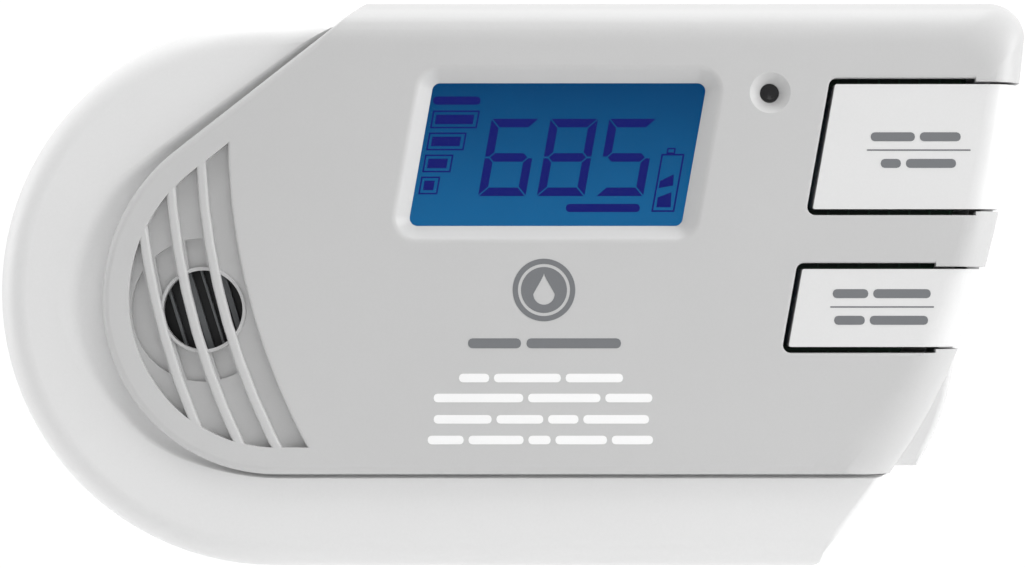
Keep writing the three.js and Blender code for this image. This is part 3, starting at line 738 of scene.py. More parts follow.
def drawn_metal() -> bpy.types.NodeTree:
    """Fine lines of drawn or turned metal, with slight stains, as a node group built once.

    Returns:
        The group.
    """
    name = "drawn metal"
    if name in bpy.data.node_groups:
        return bpy.data.node_groups[name]
    tree, graph = new_group(
        name,
        {"Vector": "Vector", "Colour": "Color", "Gloss": "Float", "Lines": "Float"},
        {"Colour": "Color", "Roughness": "Float", "Height": "Float"})
    given = graph.add("NodeGroupInput")
    result = graph.add("NodeGroupOutput")
    stretch = graph.add("ShaderNodeMapping")
    stretch.inputs["Scale"].default_value = (1.0, 0.06, 1.0)
    graph.link(given.outputs["Vector"], stretch.inputs["Vector"])
    lines = graph.add("ShaderNodeTexNoise", Detail=4.0)
    graph.link(stretch.outputs[0], lines.inputs["Vector"])
    graph.link(given.outputs["Lines"], lines.inputs["Scale"])
    stain = graph.add("ShaderNodeTexNoise", Scale=220.0, Detail=3.0)
    graph.link(given.outputs["Vector"], stain.inputs["Vector"])
    dull = graph.maths("MULTIPLY", graph.maths("SUBTRACT", stain.outputs["Fac"]), 0.22)
    tone = graph.maths("ADD", 1.0, dull)
    shade = graph.add("ShaderNodeCombineColor")
    for socket in shade.inputs:
        graph.link(tone, socket)
    tinted = graph.blend("MULTIPLY", 1.0, given.outputs["Colour"], shade.outputs[0])
    graph.link(tinted, result.inputs["Colour"])
    rough = graph.maths("MULTIPLY", graph.maths("SUBTRACT", lines.outputs["Fac"]), 0.3)
    graph.link(graph.maths("ADD", given.outputs["Gloss"], rough), result.inputs["Roughness"])
    graph.link(lines.outputs["Fac"], result.inputs["Height"])
    return tree


def srgb(red: int, green: int, blue: int) -> Colour:
    """A colour given as on a screen, from 0 to 255, in linear light.

    Args:
        red: the red value.
        green: the green value.
        blue: the blue value.

    Returns:
        The three shares of light, from 0 to 1.
    """
    def linear(value: int) -> float:
        """One value as a share in linear light."""
        share = value / 255
        return share / 12.92 if share <= 0.04045 else ((share + 0.055) / 1.055) ** 2.4
    return linear(red), linear(green), linear(blue)


@dataclass(frozen=True)
class Finish:
    """What every finish has: a name and a colour, and a material that is made once."""

    name: str
    colour: Colour

    def material(self) -> bpy.types.Material:
        """The finish's material, made at its first use.

        Returns:
            The material.
        """
        if self.name in bpy.data.materials:
            return bpy.data.materials[self.name]
        made = bpy.data.materials.new(self.name)
        made.use_nodes = True
        made.node_tree.nodes.clear()
        made.diffuse_color = (*self.colour, 1.0)
        graph = Graph(made.node_tree)
        shader = graph.add("ShaderNodeBsdfPrincipled")
        output = graph.add("ShaderNodeOutputMaterial")
        graph.link(shader.outputs[0], output.inputs["Surface"])
        place = graph.add("ShaderNodeTexCoord").outputs["Object"]
        self.dress(graph, shader, place)
        return made

    def dress(self, graph: Graph, shader: bpy.types.Node, place: bpy.types.NodeSocket) -> None:
        """Feeds the shader; each kind of finish does this in its own way."""
        raise NotImplementedError

    def relief(self, graph: Graph, shader: bpy.types.Node, height: bpy.types.NodeSocket,
               depth: float) -> None:
        """Bumps the surface by a height, `depth` millimetres deep.

        Args:
            graph: the material's graph.
            shader: its shader.
            height: the socket that gives the height.
            depth: the depth of the relief.
        """
        bump = graph.add("ShaderNodeBump", Strength=1.0, Distance=depth * MM)
        graph.link(height, bump.inputs["Height"])
        graph.link(bump.outputs[0], shader.inputs["Normal"])


@dataclass(frozen=True)
class Plastic(Finish):
    """Moulded plastic."""

    gloss: float = 0.42
    grain: float = 0.45
    depth: float = 0.004
    drift: float = 0.03
    coat: float = 0.0

    def dress(self, graph: Graph, shader: bpy.types.Node, place: bpy.types.NodeSocket) -> None:
        """Places the moulded surface group with this plastic's own values.

        Args:
            graph: the material's graph.
            shader: its shader.
            place: the Object coordinates.
        """
        shader.inputs["IOR"].default_value = 1.49
        shader.inputs["Coat Weight"].default_value = self.coat
        group = graph.add("ShaderNodeGroup", node_tree=moulded_surface())
        graph.link(place, group.inputs["Vector"])
        group.inputs["Colour"].default_value = (*self.colour, 1.0)
        group.inputs["Gloss"].default_value = self.gloss
        group.inputs["Grain"].default_value = 1 / (self.grain * MM)
        group.inputs["Drift"].default_value = self.drift
        graph.link(group.outputs["Colour"], shader.inputs["Base Color"])
        graph.link(group.outputs["Roughness"], shader.inputs["Roughness"])
        self.relief(graph, shader, group.outputs["Height"], self.depth)


@dataclass(frozen=True)
class Metal(Finish):
    """Drawn, turned or plated metal."""

    gloss: float = 0.3
    lines: float = 0.08

    def dress(self, graph: Graph, shader: bpy.types.Node, place: bpy.types.NodeSocket) -> None:
        """Places the drawn metal group with this metal's own values.

        Args:
            graph: the material's graph.
            shader: its shader.
            place: the Object coordinates.
        """
        shader.inputs["Metallic"].default_value = 1.0
        group = graph.add("ShaderNodeGroup", node_tree=drawn_metal())
        graph.link(place, group.inputs["Vector"])
        group.inputs["Colour"].default_value = (*self.colour, 1.0)
        group.inputs["Gloss"].default_value = self.gloss
        group.inputs["Lines"].default_value = 1 / (self.lines * MM)
        graph.link(group.outputs["Colour"], shader.inputs["Base Color"])
        graph.link(group.outputs["Roughness"], shader.inputs["Roughness"])
        self.relief(graph, shader, group.outputs["Height"], 0.004)


@dataclass(frozen=True)
class Clear(Finish):
    """Clear polished plastic, faintly marked by handling."""

    gloss: float = 0.04

    def dress(self, graph: Graph, shader: bpy.types.Node, place: bpy.types.NodeSocket) -> None:
        """Lets light through, with a gloss that wanders a little.

        Args:
            graph: the material's graph.
            shader: its shader.
            place: the Object coordinates.
        """
        shader.inputs["Transmission Weight"].default_value = 1.0
        shader.inputs["IOR"].default_value = 1.06
        smears = graph.add("ShaderNodeTexNoise", Scale=90.0, Detail=5.0)
        graph.link(place, smears.inputs["Vector"])
        tint = graph.add("ShaderNodeValToRGB")
        tint.color_ramp.elements[0].color = (*(c * 0.97 for c in self.colour), 1.0)
        tint.color_ramp.elements[1].color = (*self.colour, 1.0)
        graph.link(smears.outputs["Fac"], tint.inputs[0])
        graph.link(tint.outputs[0], shader.inputs["Base Color"])
        rough = graph.maths("MULTIPLY", smears.outputs["Fac"], self.gloss * 2)
        graph.link(rough, shader.inputs["Roughness"])


@dataclass(frozen=True)
class Backlit(Finish):
    """A backlit display: its light grows towards the lower edge and dies away at the top, and its default top
    colour is darker still as painted shade of the window frame's upper edge.
    """

    low: Colour = srgb(25, 95, 144)
    # The top colour includes painted shade from the window frame above the display.
    high: Colour = srgb(6, 63, 107)
    bottom: float = 0.0
    top: float = 0.02
    glow: float = 1.0

    def dress(self, graph: Graph, shader: bpy.types.Node, place: bpy.types.NodeSocket) -> None:
        """Ramps the light up the display and breaks it with the diffuser's faint mottle.

        Args:
            graph: the material's graph.
            shader: its shader.
            place: the Object coordinates.
        """
        shader.inputs["Roughness"].default_value = 0.25
        shader.inputs["Specular IOR Level"].default_value = 0.08
        shader.inputs["Emission Strength"].default_value = self.glow
        axes = graph.add("ShaderNodeSeparateXYZ")
        graph.link(place, axes.inputs[0])
        rise = graph.add("ShaderNodeMapRange")
        rise.inputs["From Min"].default_value = self.bottom
        rise.inputs["From Max"].default_value = self.top
        graph.link(axes.outputs["Z"], rise.inputs["Value"])
        mottle = graph.add("ShaderNodeTexNoise", Scale=160.0, Detail=2.0)
        graph.link(place, mottle.inputs["Vector"])
        stir = graph.maths("MULTIPLY", graph.maths("SUBTRACT", mottle.outputs["Fac"]), 0.12)
        ramp = graph.add("ShaderNodeValToRGB")
        ramp.color_ramp.elements[0].color = (*self.low, 1.0)
        ramp.color_ramp.elements[1].color = (*self.high, 1.0)
        graph.link(graph.maths("ADD", rise.outputs[0], stir), ramp.inputs[0])
        graph.link(ramp.outputs[0], shader.inputs["Emission Color"])
        dim = graph.blend("MULTIPLY", 1.0, ramp.outputs[0], (0.12, 0.12, 0.12))
        graph.link(dim, shader.inputs["Base Color"])


@dataclass(frozen=True)
class Board(Finish):
    """Circuit board: solder resist over copper tracks."""

    track: Colour = (0.02, 0.08, 0.04)

    def dress(self, graph: Graph, shader: bpy.types.Node, place: bpy.types.NodeSocket) -> None:
        """Draws the tracks with a brick pattern.

        Args:
            graph: the material's graph.
            shader: its shader.
            place: the Object coordinates.
        """
        turn = graph.add("ShaderNodeMapping")
        turn.inputs["Rotation"].default_value = (math.pi / 2, 0, 0)
        graph.link(place, turn.inputs["Vector"])
        bricks = graph.add("ShaderNodeTexBrick", Scale=160.0)
        bricks.inputs["Color1"].default_value = (*self.colour, 1.0)
        bricks.inputs["Color2"].default_value = (*(c * 0.8 for c in self.colour), 1.0)
        bricks.inputs["Mortar"].default_value = (*self.track, 1.0)
        bricks.inputs["Mortar Size"].default_value = 0.03
        graph.link(turn.outputs[0], bricks.inputs["Vector"])
        graph.link(bricks.outputs["Color"], shader.inputs["Base Color"])
        shader.inputs["Roughness"].default_value = 0.35
        self.relief(graph, shader, bricks.outputs["Fac"], 0.03)


COVER_GREY = Plastic("light grey cover plastic", srgb(191, 191, 191), gloss=0.44, grain=0.4, depth=0.005)
HOUSING_WHITE = Plastic("white housing plastic", srgb(219, 219, 219), gloss=0.42, grain=0.5, depth=0.005)
# The housing's white plastic made darker for the plug base, its plate and island: painted shade for the base
# that lies behind the cover.
SHADED_HOUSING_WHITE = Plastic("white housing plastic darkened as painted shade", srgb(209, 209, 209), gloss=0.42, grain=0.5, depth=0.005)
BUTTON_WHITE = Plastic("white button plastic", srgb(217, 217, 217), gloss=0.36, grain=0.35, depth=0.003)
INNER_WHITE = Plastic("inner white plastic", srgb(214, 214, 210), gloss=0.5)
BLACK_PLASTIC = Plastic("black plastic", srgb(26, 27, 29), gloss=0.45, drift=0.1)
# Grey rubber for the seal; it also dresses the sounder's louvres, lighter than the cap as painted highlights.
GREY_RUBBER_AND_LOUVRE_HIGHLIGHT = Plastic("grey seal rubber and painted louvre highlight", srgb(118, 120, 122), gloss=0.8, grain=0.3, depth=0.01)
PRINT_WHITE = Plastic("white print", srgb(240, 240, 240), gloss=0.5, grain=0.2, depth=0.002)
PRINT_GREY = Plastic("grey print", srgb(112, 114, 117), gloss=0.5, grain=0.2, depth=0.002)
LABEL = Plastic("label film", srgb(206, 207, 209), gloss=0.3, grain=0.8, depth=0.002)
SEGMENT_INK = Backlit("display segments", srgb(24, 30, 108), low=srgb(24, 30, 108), high=srgb(20, 26, 98),
                      bottom=0.0, top=0.03)
TAPE = Plastic("coil tape", srgb(205, 176, 60), gloss=0.35, coat=0.4)
FILM_CASE = Plastic("film capacitor case", srgb(196, 160, 40), gloss=0.3)
BLUE_EPOXY = Plastic("blue epoxy", srgb(36, 84, 150), gloss=0.3, grain=1.2, depth=0.03)
RED_WIRE = Plastic("red wire sleeve", srgb(176, 34, 28), gloss=0.35)
BLACK_WIRE = Plastic("black wire sleeve", srgb(24, 24, 26), gloss=0.35)
JACKET = Plastic("battery jacket", srgb(44, 47, 52), gloss=0.25, grain=0.6, coat=0.5)
CLEAR = Clear("clear window plastic", (0.97, 0.98, 1.0))
SMOKED = Plastic("smoked lens", srgb(12, 13, 15), gloss=0.1, depth=0.0, coat=0.3)
STEEL = Metal("zinc-plated steel", srgb(184, 188, 192), gloss=0.3)
NICKEL = Metal("nickel-plated brass", srgb(206, 198, 180), gloss=0.24)
BRASS = Metal("bare brass", srgb(196, 164, 92), gloss=0.3)
CORE_STEEL = Metal("varnished core steel", srgb(88, 90, 95), gloss=0.45, lines=0.5)
BOARD = Board("circuit board", srgb(20, 58, 36))
GLOW_DIFFUSER = Plastic("backlight diffuser", srgb(70, 140, 205), gloss=0.3)

SLOT_FINISHES: dict[str, Finish] = {
    "cover_plastic": COVER_GREY, "housing_plastic": HOUSING_WHITE, "button_plastic": BUTTON_WHITE,
    "inner_plastic": INNER_WHITE, "label": LABEL, "window": CLEAR, "display": GLOW_DIFFUSER,
    "backlight": GLOW_DIFFUSER, "black_plastic": BLACK_PLASTIC, "seal_rubber": GREY_RUBBER_AND_LOUVRE_HIGHLIGHT,
    "piezo_brass": BRASS, "board": BOARD, "steel": STEEL, "plated_brass": NICKEL, "core": CORE_STEEL,
    "coil_tape": TAPE, "film_yellow": FILM_CASE, "varistor_blue": BLUE_EPOXY, "red_lead": RED_WIRE,
    "black_lead": BLACK_WIRE, "battery_case": JACKET,
}


def dress_frame_nodes() -> None:
    """Gives every frame node that still shows the finish of its record slot."""
    slots = {part["node"]: part["material_slot"] for part in frame["record"]["subparts"]}
    for name, obj in frame["nodes"].items():
        if not obj.hide_render:
            material = SLOT_FINISHES[slots[name]].material()
            for slot in obj.material_slots:
                slot.material = material
            log.info("%s keeps its frame mesh", name)


# ---------------------------------------------------------------- front cover


@dataclass
class FrontCover:
    """The slanted cover: rolled top and right edges, window, button openings, light and grille."""

    front: float = -44.0
    back: float = -22.0
    bottom: float = -28.65
    wall: float = 2.0
    roll: float = 6.6
    roll_depth: float = 5.4
    corner: float = 5.4
    lip: float = 1.3
    upper_arc: tuple[Point, float] = ((-33.3, -2.4), 28.5)
    lower_arc: tuple[Point, float] = ((-35.55, -2.4), 26.25)
    diagonal: float = 128.0
    right_edge: tuple[Point, ...] = ((57.2, -28.65), (70.7, -10.5), (75.3, 13.7), (77.6, 36.8))
    skirt: tuple[Point, ...] = ((-80, -50), (46, -50), (53, -25), (66.5, 5), (71, 37.5), (-80, 37.5))
    window: Leaning = Leaning(-15.7, 25.3, 8.85, 30.15, 1.1)
    window_depth: float = 1.65
    pad_reach: float = -26.0
    ring_centre: Point = (56.85, 22.8)
    first_ring: float = 99.75
    ring_pitch: float = 4.8
    slot_width: float = 3.35
    slot_depth: float = 1.6
    well_depth: float = 0.7
    well_radius: float = 10.8
    grille_inset: float = 4.1
    horn: Point = (-46.65, -3.9)
    horn_hole: float = 5.95
    bead: float = 0.55
    light: Point = (38.6, 28.7)
    light_hole: float = 1.45
    light_sink: float = 3.1

    def left_side(self, inset: float) -> list[Knot]:
        """The outline's left side from the top of the diagonal round to the bottom edge.

        Args:
            inset: how far it moves inwards.

        Returns:
            Its knots.
        """
        (upper, upper_r), (lower, lower_r) = self.upper_arc, self.lower_arc
        return [
            *arc(upper, upper_r - inset, self.diagonal, 180)[:-1],
            Knot((lower[0] - lower_r + inset, lower[1]),
                 arc(upper, upper_r - inset, self.diagonal, 180)[-1].into,
                 arc(lower, lower_r - inset, 180, 270)[0].out),
            *arc(lower, lower_r - inset, 180, 270)[1:],
        ]

    def peak(self, inset: float, top: float) -> Point:
        """Where the diagonal reaches a height.

        Args:
            inset: how far the diagonal moves inwards.
            top: the height.

        Returns:
            The point.
        """
        (centre, radius) = self.upper_arc
        turn = math.radians(self.diagonal)
        return centre[0] + (radius - inset - (top - centre[1]) * math.sin(turn)) / math.cos(turn), top

    def right_side(self, inset: float) -> list[Knot]:
        """The outline's right side from the bottom edge up and round the top corner.

        Args:
            inset: how far it moves inwards.

        Returns:
            Its knots.
        """
        foot, low, high, head = [(p[0] - inset * 0.95, p[1]) for p in self.right_edge]
        foot = (foot[0], self.bottom + inset)
        head = (head[0], COVER_TOP - inset - self.corner)
        bend = arc((head[0] - self.corner, head[1]), self.corner, 4, 90)
        return [Knot(foot, None, low), Knot(bend[0].at, high, bend[0].out), *bend[1:]]

    def outline(self, inset: float = 0.0) -> list[Knot]:
        """The cover's outline, counter-clockwise as seen from the room, moved inwards by `inset`."""
        return [*self.right_side(inset), Knot(self.peak(inset, COVER_TOP - inset)), *self.left_side(inset)]

    def form(self, inset: float = 0.0, behind: float = 0.0) -> Workpiece:
        """The cover's solid form: rolled at the top and right, hardly eased at the left and bottom.

        Args:
            inset: how far its faces lie inside the cover's own.
            behind: how far it reaches behind the cover's rim.

        Returns:
            The solid.
        """
        front, back, far = self.front + inset, self.back + behind, 160.0

        def rolled(more: float) -> list[Knot]:
            """The outline with the rolled edges, moved inwards.

            Args:
                more: how much further in than the form.

            Returns:
                Its knots.
            """
            right = self.right_side(inset + more)
            slope = (Vector(right[0].out) - Vector(right[0].at)).normalized() * 50
            below = Knot((right[0].at[0] - slope.x, right[0].at[1] - slope.y))
            return [Knot((-far, below.at[1])), below, *right, Knot((-far, COVER_TOP - inset - more))]

        def plain(more: float) -> list[Knot]:
            """The outline with the plain edges, moved inwards."""
            return [Knot((far, self.bottom + inset + more)), Knot((far, far)),
                    Knot(self.peak(inset + more, far)), *self.left_side(inset + more)]

        body = Workpiece.rolled("front_cover_shell", rolled, back, front, self.roll - inset,
                                self.roll_depth - inset, 14)
        return body.combine(Join.KEEP, Workpiece.rolled("lip", plain, back, front, self.lip, self.lip, 4))

    def grille(self) -> list[Workpiece]:
        """The cutting tools of the curved slots, the sounder's hole and the shallow well round it.

        Returns:
            The tools.
        """
        floor = self.front + self.slot_depth
        ends = self.left_side(self.grille_inset)
        bottom = self.bottom + self.grille_inset
        corner = self.peak(self.grille_inset, COVER_TOP - self.grille_inset)
        well_floor = floor + self.well_depth
        tools = []
        for i in range(4):
            inner = self.first_ring + i * self.ring_pitch
            outer = inner + (self.slot_width if i < 3 else 12)
            rings = []
            for grow, depth in ((0.0, floor), (0.0, self.front + 0.5), (0.15, self.front + 0.15),
                                (0.5, self.front), (0.5, self.front - 1)):
                knots = arc(self.ring_centre, outer + grow, 176, 216)
                knots += arc(self.ring_centre, inner - grow, 216, 176)
                rings.append((knots, depth))
            slot = Workpiece.loft("slot", rings, 12)
            field_outline = [Knot(corner), *ends, Knot((10, bottom)), Knot((10, corner[1]))]
            slot_field = Workpiece.prism("slot field", field_outline, floor + 3, self.front - 2, 12)
            tools.append(slot.combine(Join.KEEP, slot_field))
            if i:
                pocket = Workpiece.prism(
                    "pocket", [*arc(self.ring_centre, outer - 0.35, 180, 212),
                               *arc(self.ring_centre, inner + 0.35, 212, 180)], well_floor, floor - 0.1, 12)
                near = Workpiece.rod("near the sounder", self.horn, self.well_radius, well_floor + 1,
                                     floor - 1, 64)
                tools.append(pocket.combine(Join.KEEP, near))
        tools.append(Workpiece.rod("sounder hole", self.horn, self.horn_hole, floor + 6, floor - 0.01, 72))
        return tools

    def window_tools(self) -> list[Workpiece]:
        """The display opening and the bevel round it.

        Returns:
            The tools.
        """
        opening, front, foot = self.window.outline, self.front, self.front + self.window_depth
        bevel = Workpiece.loft("window bevel", [
            (opening(0.0), front + 4), (opening(0.0), foot + 0.55), (opening(0.18), foot + 0.18),
            (opening(0.6), foot - 0.1), (opening(1.9), front + 0.36), (opening(2.35), front + 0.1),
            (opening(2.9), front), (opening(2.9), front - 1)], 8)
        return [bevel]

    def light_tools(self) -> list[Workpiece]:
        """The status light's hole and countersink.

        Returns:
            The tools.
        """
        return [
            Workpiece.rod("light hole", self.light, self.light_hole, self.front + 4, self.front - 1, 40),
            Workpiece.rod("light sink", self.light, self.light_hole + 0.05, self.front + 1.45,
                          self.front - 0.02, 56, self.light_sink),
        ]

    def build(self, buttons: "Sequence[PushButton]") -> bpy.types.Object:
        """Models the cover.

        Args:
            buttons: the buttons whose openings it needs.

        Returns:
            The finished cover.
        """
        piece = self.form()
        piece.combine(Join.CUT, self.form(self.wall, 1.0))
        pad = Workpiece.prism("grille pad", self.outline(self.wall + 0.5), self.front + 3.1,
                              self.front + 1.5, 12)
        pad.combine(Join.KEEP, Workpiece.cube("pad reach", (-80, -60, -60), (self.pad_reach, 0, 60)))
        piece.combine(Join.ADD, pad)
        skirt = Workpiece.prism("short skirt", rounded(self.skirt, 1), self.back + 1, self.front + 6)
        piece.combine(Join.CUT, skirt)
        piece.combine(Join.CUT, *self.window_tools(), *self.light_tools(), *self.grille())
        for button in buttons:
            piece.combine(Join.CUT, *button.opening_tools(self.front))
        floor = self.front + self.slot_depth
        bead = Workpiece.rod("sounder bead", self.horn, self.horn_hole + self.bead, floor + 0.5,
                             floor - 0.35, 72)
        hole = Workpiece.rod("bead hole", self.horn, self.horn_hole, floor + 2, floor - 2, 72)
        bead.eased(0.25, 3).combine(Join.CUT, hole)
        piece.combine(Join.ADD, bead)
        return piece.finish(Body.ALARM, COVER_GREY, "cover_plastic", "front_cover")


# ---------------------------------------------------------------- push buttons


@dataclass
class PushButton:
    """A cap that wraps round the cover's right edge, with its printed marks."""

    name: str
    body: Body
    shape: Leaning
    marks: tuple[Point, ...]
    rule: float
    roll_start: float
    gap: float = 0.9
    wall: float = 1.6
    skirt: float = -35.3
    proud: float = 0.3
    row_rise: float = 2.0

    def opening_tools(self, face: float) -> list[Workpiece]:
        """The cutting tools of the button's opening, with eased lips, tighter round the rolled edge.

        Args:
            face: the depth of the cover's face.

        Returns:
            The tools.
        """
        tools = []
        for shrink in (0.0, -0.55):
            grown = [(self.shape.outline(shrink + more), depth) for more, depth in
                     ((0.0, -33.6), (0.0, face + 0.45), (0.13, face + 0.13), (0.45, face), (0.45, face - 1))]
            tools.append(Workpiece.loft("button opening", grown, 6))
        tools[0].combine(Join.KEEP, Workpiece.cube("flat part", (-80, -60, -60), (self.roll_start, 0, 60)))
        return tools

    def build(self, cover: FrontCover) -> None:
        """Models the cap inside the cover's form and prints its marks.

        Args:
            cover: the cover whose rolled edge the cap follows.
        """
        front = node_box(self.name)[0].y
        outline = self.shape.outline
        cap = Workpiece.prism(f"{self.name}_cap", outline(-self.gap), self.skirt, front - 2, 6)
        cap.combine(Join.KEEP, cover.form(self.proud))
        hollow = Workpiece.prism("cap hollow", outline(-self.gap - self.wall), self.skirt + 1, front + 1.8, 6)
        cap.combine(Join.CUT, hollow.combine(Join.KEEP, cover.form(self.proud + self.wall)))
        cap.eased(0.35, 3)
        cap.finish(self.body, BUTTON_WHITE, "button_plastic", self.name)
        self.print_marks(front)

    def print_marks(self, front: float) -> None:
        """Prints two plain rows of marks with a rule between them.

        Args:
            front: the depth of the cap's face.
        """
        left, right = self.marks[0]
        marks = Print(f"{self.name}_marks", front, 1.35)
        marks.bar(left, right, self.rule, 0.22)
        marks.row(*self.marks[1], self.rule + self.row_rise, 2)
        marks.row(*self.marks[2], self.rule - self.row_rise, 2)
        marks.finish(self.body, PRINT_GREY)


@dataclass
class Print:
    """Rows of plain printed bars with round ends, one for each word."""

    name: str
    face: float
    height: float
    pieces: list[Workpiece] = field(default_factory=list)

    def bar(self, left: float, right: float, centre: float, height: float) -> None:
        """One printed bar."""
        outline = block(left, centre - height / 2, right, centre + height / 2, height * 0.45)
        self.pieces.append(Workpiece.prism("mark", outline, self.face + 0.1, self.face - PRINT_PROUD, 3))

    def row(self, left: float, right: float, centre: float, words: int) -> None:
        """Prints one row of bars of uneven length.

        Args:
            left: the row's left end.
            right: its right end.
            centre: the height of its middle.
            words: the number of bars.
        """
        gap = self.height * 0.55
        shares = [1 + 0.45 * math.sin(2.4 * i + left) for i in range(words)]
        start = left
        for share in shares:
            width = (right - left - gap * (words - 1)) * share / sum(shares)
            self.bar(start, start + width, centre, self.height)
            start += width + gap

    def finish(self, body: Body, ink: "Finish", slot: str = "black_plastic") -> None:
        """Joins the marks and finishes them as one piece."""
        self.pieces[0].gather(*self.pieces[1:])
        Workpiece(self.pieces[0].obj, self.name).finish(body, ink, slot)


# ---------------------------------------------------------------- rear housing


@dataclass
class RearHousing:
    """The white housing behind the cover, seen as a band at the left and along the bottom."""

    front: float = -42.0
    back: float = -10.0
    centre: Point = (-36.2, -1.2)
    radius: float = 41.6
    round: float = 4.5
    side_round: float = 1.6
    corner: float = 2.6
    wall: float = 2.2
    hollow: float = 1.1
    hollow_reach: float = 6.5
    right_edge: tuple[Point, ...] = ((46.3, -42.9), (65.5, -20.5), (74.6, 6), (76.4, 37))
    inside: tuple[Point, ...] = ((45.5, -38), (59, -21), (60, 36))
    inside_radius: float = 38.2
    screw_well: float = 3.2
    vents: int = 9
    vent_left: float = -14.0
    vent_pitch: float = 4.5

    def form(self) -> Workpiece:
        """The housing's solid form: a round-ended body trimmed by the curved right side.

        Returns:
            The solid.
        """
        low, high = self.centre[1] - self.radius, self.centre[1] + self.radius

        def round_end(inset: float) -> list[Knot]:
            """The outline with the round left end, moved inwards."""
            return [Knot((120, low + inset)), Knot((120, high - inset)),
                    *arc(self.centre, self.radius - inset, 90, 270)]

        def right_side(inset: float) -> list[Knot]:
            """The outline with the curved right side, moved inwards.

            Args:
                inset: how far it moves inwards.

            Returns:
                Its knots.
            """
            foot, bend, rise, head = [(p[0] - inset * 0.95, p[1]) for p in self.right_edge]
            slope = (Vector(bend) - Vector(foot)).normalized() * 40
            corner = rounded([(-120, low + inset), (foot[0], low + inset),
                              (foot[0] + slope.x, foot[1] + slope.y)], self.corner)[2:4]
            return [Knot((-120, low + inset)), corner[0], Knot(corner[1].at, corner[1].into, bend),
                    Knot(head, rise, None), Knot((head[0] + 1, 80)), Knot((-120, 80))]

        end, side = [
            Workpiece.rolled("rear_housing_shell", outline, self.back, self.front, width, self.round, 10)
            for outline, width in ((round_end, self.round), (right_side, self.side_round))]
        return end.combine(Join.KEEP, side)

    def build(self, cover: FrontCover) -> bpy.types.Object:
        """Models the housing and the seat that the cover lies in.

        Args:
            cover: the cover that lies in it.

        Returns:
            The finished housing.
        """
        piece = self.form()
        piece.bevel(lambda p: abs(p.y - self.back) < 1e-3, 0.8, 3)
        piece.combine(Join.CUT, Workpiece.prism("seat", cover.outline(-0.02), cover.back + 0.3, -50, 12))
        piece.combine(Join.CUT, self.valley(cover))
        inner = [*(Knot(p) for p in self.inside), *arc(self.centre, self.inside_radius, 90, 270)]
        piece.combine(Join.CUT, Workpiece.prism("inside", inner, self.back - self.wall,
                                                self.front + self.wall, 12))
        piece.combine(Join.CUT, *self.rear_tools())
        return piece.finish(Body.ALARM, HOUSING_WHITE, "housing_plastic", "rear_housing")

    def valley(self, cover: FrontCover) -> Workpiece:
        """The cutting tool of the soft hollow along the cover's edge, widest at the left.

        Args:
            cover: the cover whose edge it follows.

        Returns:
            The tool.
        """
        centre = cover.upper_arc[0]

        def share_of(knot: Knot) -> float:
            """A knot's share of the hollow's width: all of it at the left, none at the right."""
            aside, up = centre[0] - knot.at[0], centre[1] - knot.at[1]
            return max(0.0, aside / math.hypot(aside, up)) ** 2

        rings = []
        for i in range(8):
            share = i / 7
            depth = self.front + self.hollow * (1 + math.cos(math.pi * share)) / 2
            aside = self.hollow_reach * share
            outline = cover.outline(-0.15 - 0.5 * share)
            rings.append(([knot.moved(-aside * share_of(knot), 0.0) for knot in outline], depth))
        rings.append((rings[-1][0], self.front - 1))
        return Workpiece.loft("valley", [(rings[0][0], cover.back), *rings], 12)

    def rear_tools(self) -> list[Workpiece]:
        """The doorway, screw wells, power opening and lower vents.

        Returns:
            The tools.
        """
        door_low, door_high = node_box("battery_door")
        tools = [Workpiece.cube("doorway", (-31.8, -13, door_low.z - 0.3), (-2.2, -9, door_high.z + 0.3))]
        for i in range(1, 5):
            at = node_middle(f"housing_screw_{i}")
            tools.append(Workpiece.rod("screw well", (at.x, at.z), self.screw_well, self.back + 1, -22, 36))
        (left, bottom), (right, top) = POWER_OPENING
        tools.append(Workpiece.cube("power opening", (left, self.back - 4, bottom),
                                    (right, self.back + 1, top)))
        for i in range(self.vents):
            x = self.vent_left + i * self.vent_pitch
            tools.append(Workpiece.cube("vent", (x - 1, -30, -46), (x + 1, -17, -38)))
        return tools


# ---------------------------------------------------------------- display


